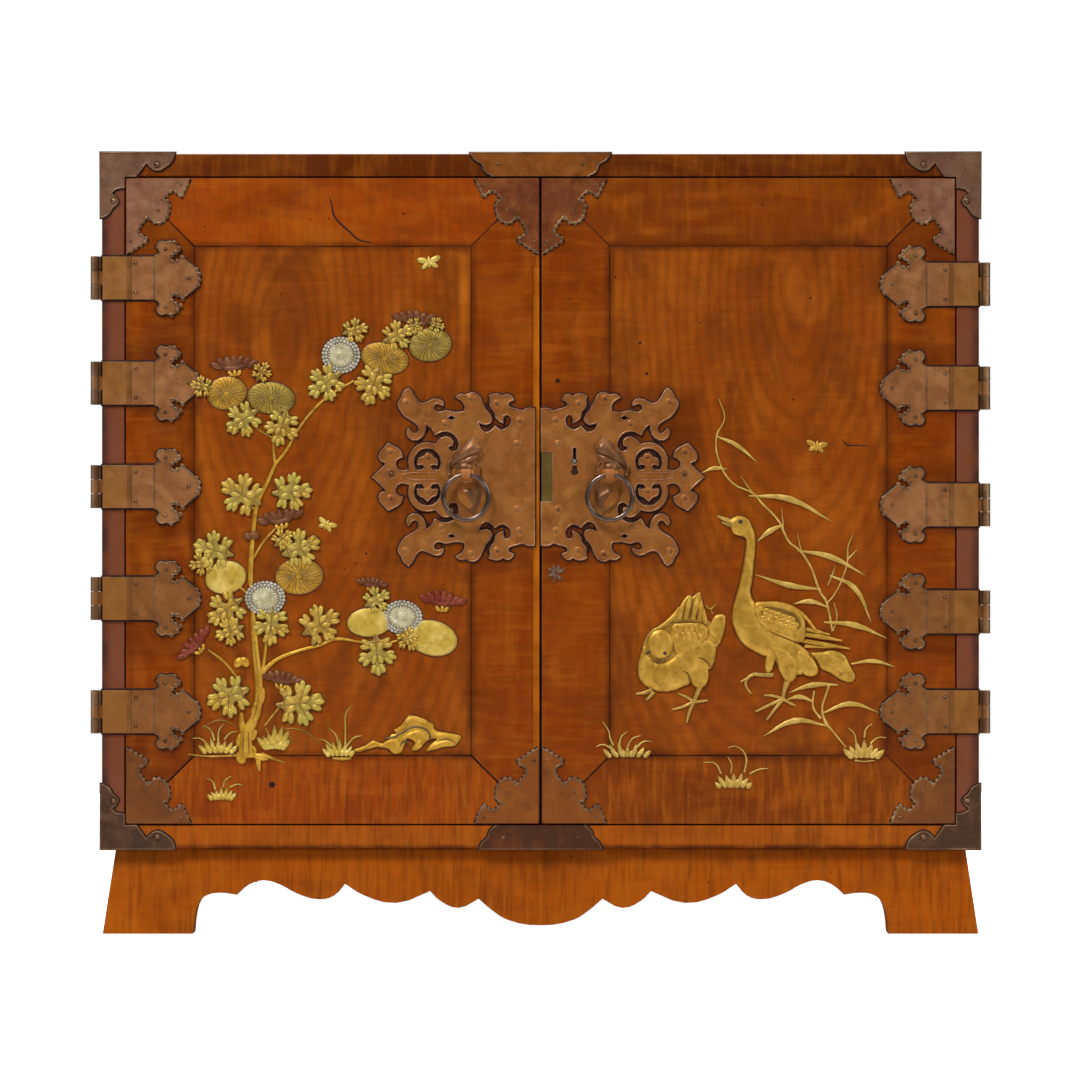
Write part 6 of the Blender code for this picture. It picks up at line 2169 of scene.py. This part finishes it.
    # The same for it as for the goose that stands.
    PREENING_PARTS = (
        (PREENING, 4.2, 10.0, 0.2), (PREENING_BACK, 1.0, 4.0, 0.4), (FAN, 1.4, 4.0, 0.6),
        (PREENING_TAIL, 2.4, 5.0, 1.0), (COVERTS, 2.0, 5.0, 2.4),
    )
    PREENING_SWELLS = (
        (Stock.SWELLING, (664.5, 647), 90, (29.5, 26, 3.4), 2.6),
        (Stock.SWELLING, (703, 677.5), 90, (27.5, 19, 2.6), 2.4),
        (Stock.ROUND, (660, 669), 90, (6, 5, 1.6), 3.8),
    )
    PREENING_EYES = (((653, 655.5), 3.8, 4.4), ((669, 656), 3.8, 5.2))
    FAN_FEATHERS = (
        ((683, 622, 2.6), (685, 613, 3.4), (687.5, 605.5, 2.0)),
        ((689, 622, 2.6), (692, 609, 3.4), (694, 598.5, 2.0)),
        ((696.5, 622, 2.6), (700, 608, 3.6), (702.5, 596.5, 2.0)),
        ((703, 623, 2.6), (704, 614, 3.2), (705, 604, 1.8)),
        ((709.5, 627, 2.4), (708, 619, 2.8), (706.5, 611, 1.6)),
        ((663, 631, 2.2), (674, 623, 3.0), (684, 610, 2.0)),
    )
    SHORT_FEATHERS = (
        (678.5, 633), (684, 631), (689.5, 630.5), (695, 630.5), (700.5, 631), (706, 633.5), (681, 641),
        (687, 639.5), (693, 639), (699, 639.5), (704.5, 641),
    )
    # Dark lines of painted shade between the feathers and under the thigh.
    FEATHER_GAPS = (
        (((686.5, 623, 0.5), (689, 612, 0.6), (690.5, 602, 0.3)), 2.6),
        (((693, 622, 0.5), (695.5, 610, 0.6), (697.5, 600, 0.3)), 2.6),
        (((700, 622, 0.5), (702.5, 610, 0.6), (703.5, 601, 0.3)), 2.6),
        (((675, 625.5, 0.6), (693, 624.5, 0.9), (709, 627, 0.6)), 3.0),
        (((700, 660, 0.4), (708, 662.5, 1.0), (715, 671, 0.6)), 4.2),
        (((687, 674, 0.4), (691.5, 676.5, 1.0), (694, 686, 0.5)), 4.3),
        (((655, 662, 0.4), (663, 665, 0.9), (674, 660, 0.5)), 4.0),
    )
    BARB = (((708, 607, 0.5), (714, 611.5, 1.1), (720, 606, 0.4)), ((714, 611.5, 1.0), (716.5, 617, 0.6)))
    PREENING_FEET = (
        ((703.5, 690, 3.0), (700, 699, 2.3), (697.5, 705, 2.0)),
        ((697.5, 705, 1.9), (690, 700, 1.6), (682, 696.5, 1.0)),
        ((697.5, 705, 2.0), (687, 710, 1.7), (676, 713, 1.0)),
        ((697.5, 705, 2.0), (693, 716, 1.7), (690.5, 726, 1.0)),
        ((697.5, 705, 1.9), (705, 704.5, 1.6), (711.5, 703.5, 1.0)),
        ((656, 693, 2.4), (648, 696, 1.9), (640.5, 697, 1.0)),
        ((658, 695, 2.2), (654, 700, 1.8), (650.5, 703, 1.0)),
    )
    INSECT = ((819, 448), 12, 82)
    # Middle of a small inlaid sprig, and the way each of its leaves points.
    SPRIG = (562, 576)
    SPRIG_WAYS = (30, 70, 110, 150, 200, 250, 300)

    def build(self) -> None:
        """Raise the whole picture."""
        self.strokes("reed_stem", self.REED, 0.5)
        for start, bend, tip, half in self.REED_LEAVES:
            self.stroke("reed_leaves", ((*start, 0.8), (*bend, half), (*tip, 0.3)), 0.5)
        for clump in self.CLUMPS:
            self.clump("reed_grass", *clump)
        self._standing_goose()
        self._preening_goose()
        self.insect("right_insect", *self.INSECT)
        for way in self.SPRIG_WAYS:
            self.lump("pewter_sprig", Stock.ROUND, beside(self.SPRIG, heading(way) * 5), way, (9, 4.2, 1.2))
        self._dress()

    def _dress(self) -> None:
        """Dust every heap with its metal, or lacquer it."""
        rise = self.depths(0.1, 1.5)
        gold = dusted("goose_gold", "#b28528", "#deb04a", "#5c3a10", rise)
        reed = dusted("reed_gold", "#b4903a", "#e0bc66", "#6a4c1a", self.depths(0.1, 0.9), 0.4)
        pewter = dusted("pewter", "#75604c", "#958a7c", "#4a2812", rise, 0.3)
        worn = Layer("#6c3814", (5 * MM,) * 3, 0.44, 0.56, 0.9)
        self.finish({
            "reed_stem": reed,
            "reed_leaves": reed,
            "reed_grass": reed,
            "goose_bodies": gold,
            "goose_feathers": gold,
            "goose_bodies_contours": dusted("contour_shade_gold", "#624416", "#7a5822", "#3c260a", rise),
            "goose_scale_painted_shade": dusted("scale_ground", "#7c581a", "#8e6a24", "#4c320e", rise),
            "goose_bills_and_feet": dusted("bill_lacquer", "#a88434", "#cca450", "#5a3c14", rise, 0.4),
            "goose_eyes": dusted("black_lacquer", "#2c1a0c", "#4a3018", "#1c0f06", rise, 0.0),
            "right_insect": gold,
            "pewter_sprig": replace(pewter, layers=(*pewter.layers, worn)),
        })

    def _body(self, parts: Sequence[tuple], swells: Sequence[tuple], eyes: Sequence[tuple]) -> None:
        """Raise a goose's body.

        Args:
            parts: edge, height, reach and lift of each part.
            swells: stock shape, middle, turn, size and lift of each swelling.
            eyes: middle, width and lift of each eye.
        """
        for part in parts:
            self.cushion("goose_bodies", *part)
        for swell in swells:
            self.lump("goose_bodies", *swell)
        for middle, width, lift in eyes:
            self.lump("goose_eyes", Stock.ROUND, middle, 0, (width, width, 1.2), lift)

    def _standing_goose(self) -> None:
        """Raise the goose that stands with its neck up."""
        self._body(self.STANDING_PARTS, self.STANDING_SWELLS, self.STANDING_EYES)
        # Painted shade under the small feathers, so that the gaps between them are dark.
        ground = [self.face.at(*point) for point in self.SCALE_GROUND]
        self.relief.cushion("goose_scale_painted_shade", ground, 0.6 * MM, 4 * MM, 5 * MM)
        rows, columns = self.SCALE_ROWS
        for row in range(rows):
            for column in range(columns):
                shift = column + 0.5 * (row % 2)
                middle = [start + ahead * shift + down * row for start, ahead, down
                          in zip(self.SCALE_START, self.ALONG_ROW, self.NEXT_ROW)]
                self.lump("goose_feathers", Stock.ROUND, middle, self.SCALE_TURN, (8.0, 5.4, 1.3), 5.3)
        for feather, lift in self.LONG_FEATHERS:
            self.stroke("goose_feathers", feather, lift)
        self.strokes("goose_bills_and_feet", self.STANDING_FEET, 0.9)

    def _preening_goose(self) -> None:
        """Raise the goose that bends its head to its breast."""
        self._body(self.PREENING_PARTS, self.PREENING_SWELLS, self.PREENING_EYES)
        self.strokes("goose_feathers", self.FAN_FEATHERS, 1.8)
        for place in self.SHORT_FEATHERS:
            self.lump("goose_feathers", Stock.ROUND, place, 100, (10, 5.0, 1.6), 3.9)
        for gap, lift in self.FEATHER_GAPS:
            self.stroke("goose_bodies_contours", gap, lift)
        self.strokes("goose_feathers", self.BARB, 0.8)
        self.strokes("goose_bills_and_feet", self.PREENING_FEET, 0.9)


@dataclass
class Wear:
    """Old cracks and worm holes in a door's lacquer, drawn in pixels of the photograph.

    Attributes:
        faces: the two doors' fronts.
        shop: the stock shapes.
        flatness: depth of the cracks' dirt, as a share of their half width.
        hole_depth: depth of the dirt in a hole.
    """

    faces: dict[Side, DoorFace]
    shop: Shop
    flatness: float = 0.12
    hole_depth: float = 0.15 * MM
    # Column, row and half width of each point.
    CRACKS = {
        Side.LEFT: (
            ((328.5, 196, 0.3), (331, 205, 0.9), (334, 217, 1.0), (342, 226, 1.1), (350, 233, 1.1),
             (358, 240, 1.0), (372, 243.5, 0.6)),
        ),
        Side.RIGHT: (
            ((844, 441, 0.3), (849, 446.5, 0.9), (858, 447, 0.7), (870, 448, 0.4)),
        ),
    }
    # Column, row and half size.
    HOLES = {
        Side.LEFT: ((310, 220, 0.8), (328, 219, 0.9), (404, 214, 1.2), (413, 252, 1.2), (279.5, 295, 1.0),
                    (202, 227, 0.9), (356, 566, 1.0), (366, 556, 1.2), (344, 572, 0.9), (270.5, 788.5, 3.2)),
        Side.RIGHT: ((765, 205, 1.1), (813, 299, 1.3), (704, 324, 1.0), (644.5, 344, 1.5), (796, 401, 1.1),
                     (651, 375, 1.8), (575, 300, 1.0), (620, 278, 1.2), (563, 382, 2.4)),
    }

    def build(self, finish: Finish) -> None:
        """Draw the wear of both doors.

        Args:
            finish: the dirt in it.
        """
        for side, face in self.faces.items():
            relief = Relief(face.front, self.shop, self.flatness)
            heap = f"{side.door}_wear"
            for crack in self.CRACKS[side]:
                relief.line(heap, [(face.at(column, row), half * face.unit) for column, row, half in crack])
            for column, row, half in self.HOLES[side]:
                width = 2 * half * face.unit
                relief.lump(heap, Stock.ROUND, face.at(column, row), 90, (width, width, self.hole_depth))
            relief.piece(heap, finish, side.door)


@dataclass
class Studio:
    """A pale floor, soft lights and a camera square to the front.

    Attributes:
        front: depth of the doors' front.
        camera_x: where the camera stands across.
        camera_z: its height.
        distance: from the camera to the doors.
        view: width that the picture spans at the doors.
        middle: point at the doors that the picture's middle shows.
        aim: height that the lights point at; not used.
        floor: radius of the floor.
        rim: how far its edge is turned down.
    """

    # Name, place, side and watts of each soft light.
    LAMPS = (
        ("key_light", (-1.6, -2.6, 3.4), 1.2, 150), ("fill_light", (3.0, -2.4, 2.0), 2.4, 60),
        ("top_light", (0.0, 0.4, 3.4), 3.0, 110), ("back_light", (0.6, 3.6, 2.4), 3.0, 90),
    )
    front: float
    camera_x: float = 0.03
    camera_z: float = 0.403
    distance: float = 3.2
    view: float = 1.108
    middle: Point = (-0.0005, 0.4042)
    aim: float = 0.4
    floor: float = 1.7
    rim: float = 0.02

    def build(self) -> None:
        """Set the floor, the light and the camera."""
        self._floor()
        self._world()
        for lamp in self.LAMPS:
            self._lamp(*lamp)
        self._camera()

    def _floor(self) -> None:
        """Lay a wide pale floor with a turned-down rim."""
        Bench.clear()
        bpy.ops.mesh.primitive_circle_add(vertices=96, radius=self.floor, fill_type="NGON")
        floor = bpy.context.object
        floor.name = "studio_floor"
        bpy.ops.object.mode_set(mode="EDIT")
        bpy.ops.mesh.select_all(action="SELECT")
        bpy.ops.mesh.extrude_region_move(TRANSFORM_OT_translate={"value": (0, 0, -self.rim)})
        bpy.ops.mesh.select_all(action="SELECT")
        bpy.ops.mesh.normals_make_consistent(inside=False)
        Bench.clear()
        pale = Finish("pale_floor", "#f0eeec", (Layer("#e9e7e4", (0.5, 0.5, 0.5), 0.4, 0.6, 1.0),), "",
                      roughness=(0.6, 0.7), grit=0.01 * MM)
        floor.data.materials.append(pale.material())
        tree = pale.material().node_tree
        shader = tree.nodes["Principled BSDF"]
        shader.inputs["Emission Color"].default_value = to_linear("#ffffff")
        seen = add_node(tree, "ShaderNodeLightPath").outputs["Is Camera Ray"]
        tree.links.new(seen, shader.inputs["Emission Strength"])

    def _world(self) -> None:
        """White to look at, a soft grey to be lit by."""
        world = bpy.data.worlds.new("studio_world")
        bpy.context.scene.world = world
        world.use_nodes = True
        tree = world.node_tree
        seen = add_node(tree, "ShaderNodeLightPath").outputs["Is Camera Ray"]
        shades = {0: seen, 6: to_linear("#484848"), 7: to_linear("#ffffff")}
        shade = add_node(tree, "ShaderNodeMix", shades, data_type="RGBA")
        tree.links.new(shade.outputs[2], tree.nodes["Background"].inputs["Color"])

    def _lamp(self, name: str, place: Triple, size: float, power: float) -> None:
        """Hang a square soft light that points at the cabinet.

        Args:
            name: its name.
            place: where it hangs.
            size: its side.
            power: its watts.
        """
        lamp = bpy.data.lights.new(name, "AREA")
        lamp.size = size
        lamp.energy = power
        hung = bpy.data.objects.new(name, lamp)
        bpy.context.collection.objects.link(hung)
        hung.location = place
        aim = Vector((0, self.front, 0.4)) - Vector(place)
        hung.rotation_euler = aim.to_track_quat("-Z", "Y").to_euler()

    def _camera(self) -> None:
        """Stand the camera level, with the shift that the photograph's framing needs."""
        data = bpy.data.cameras.new("photo_camera")
        data.sensor_width = 36.0
        data.lens = data.sensor_width * self.distance / self.view
        data.shift_x = (self.middle[0] - self.camera_x) / self.view
        data.shift_y = (self.middle[1] - self.camera_z) / self.view
        camera = bpy.data.objects.new("photo_camera", data)
        bpy.context.collection.objects.link(camera)
        camera.location = (self.camera_x, self.front - self.distance, self.camera_z)
        camera.rotation_euler = (math.pi / 2, 0, 0)
        bpy.context.scene.camera = camera
        bpy.context.scene.view_settings.view_transform = "Standard"


def door_face(side: Side, left_px: float, right_px: float) -> DoorFace:
    """Take a door's face from the frame.

    Args:
        side: which door.
        left_px: pixel column of its left edge.
        right_px: pixel column of its right edge.

    Returns:
        The face.
    """
    outer_low, outer_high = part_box(f"{side.door}_hinge_stile")
    inner_low, inner_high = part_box(f"{side.door}_meeting_stile")
    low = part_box(f"{side.door}_bottom_rail")[0].z
    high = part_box(f"{side.door}_top_rail")[1].z
    left, right = min(outer_low.x, inner_low.x), max(outer_high.x, inner_high.x)
    return DoorFace(left, right, low, high, outer_low.y, left_px, right_px)


def main() -> None:
    """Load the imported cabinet, dress it and set the studio."""
    logging.basicConfig(level=logging.INFO, format="%(name)s: %(message)s")
    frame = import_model()
    nodes = frame["nodes"]
    shop = Shop()
    Cabinetwork(nodes).dress()
    mounts = Mounts(nodes, shop)
    mounts.dress()
    mounts.roll_edges()
    mounts.nail_hinges()
    mounts.nail_corners()
    LockFurniture(mounts, shop).build()
    mounts.finish_nails()
    faces = {side: door_face(side, *columns) for side, columns in DOOR_COLUMNS.items()}
    ChrysanthemumDoor(faces[Side.LEFT], shop).build()
    GooseDoor(faces[Side.RIGHT], shop).build()
    Wear(faces, shop).build(mounts.grime)
    Studio(faces[Side.LEFT].front).build()


if __name__ == "__main__":
    main()
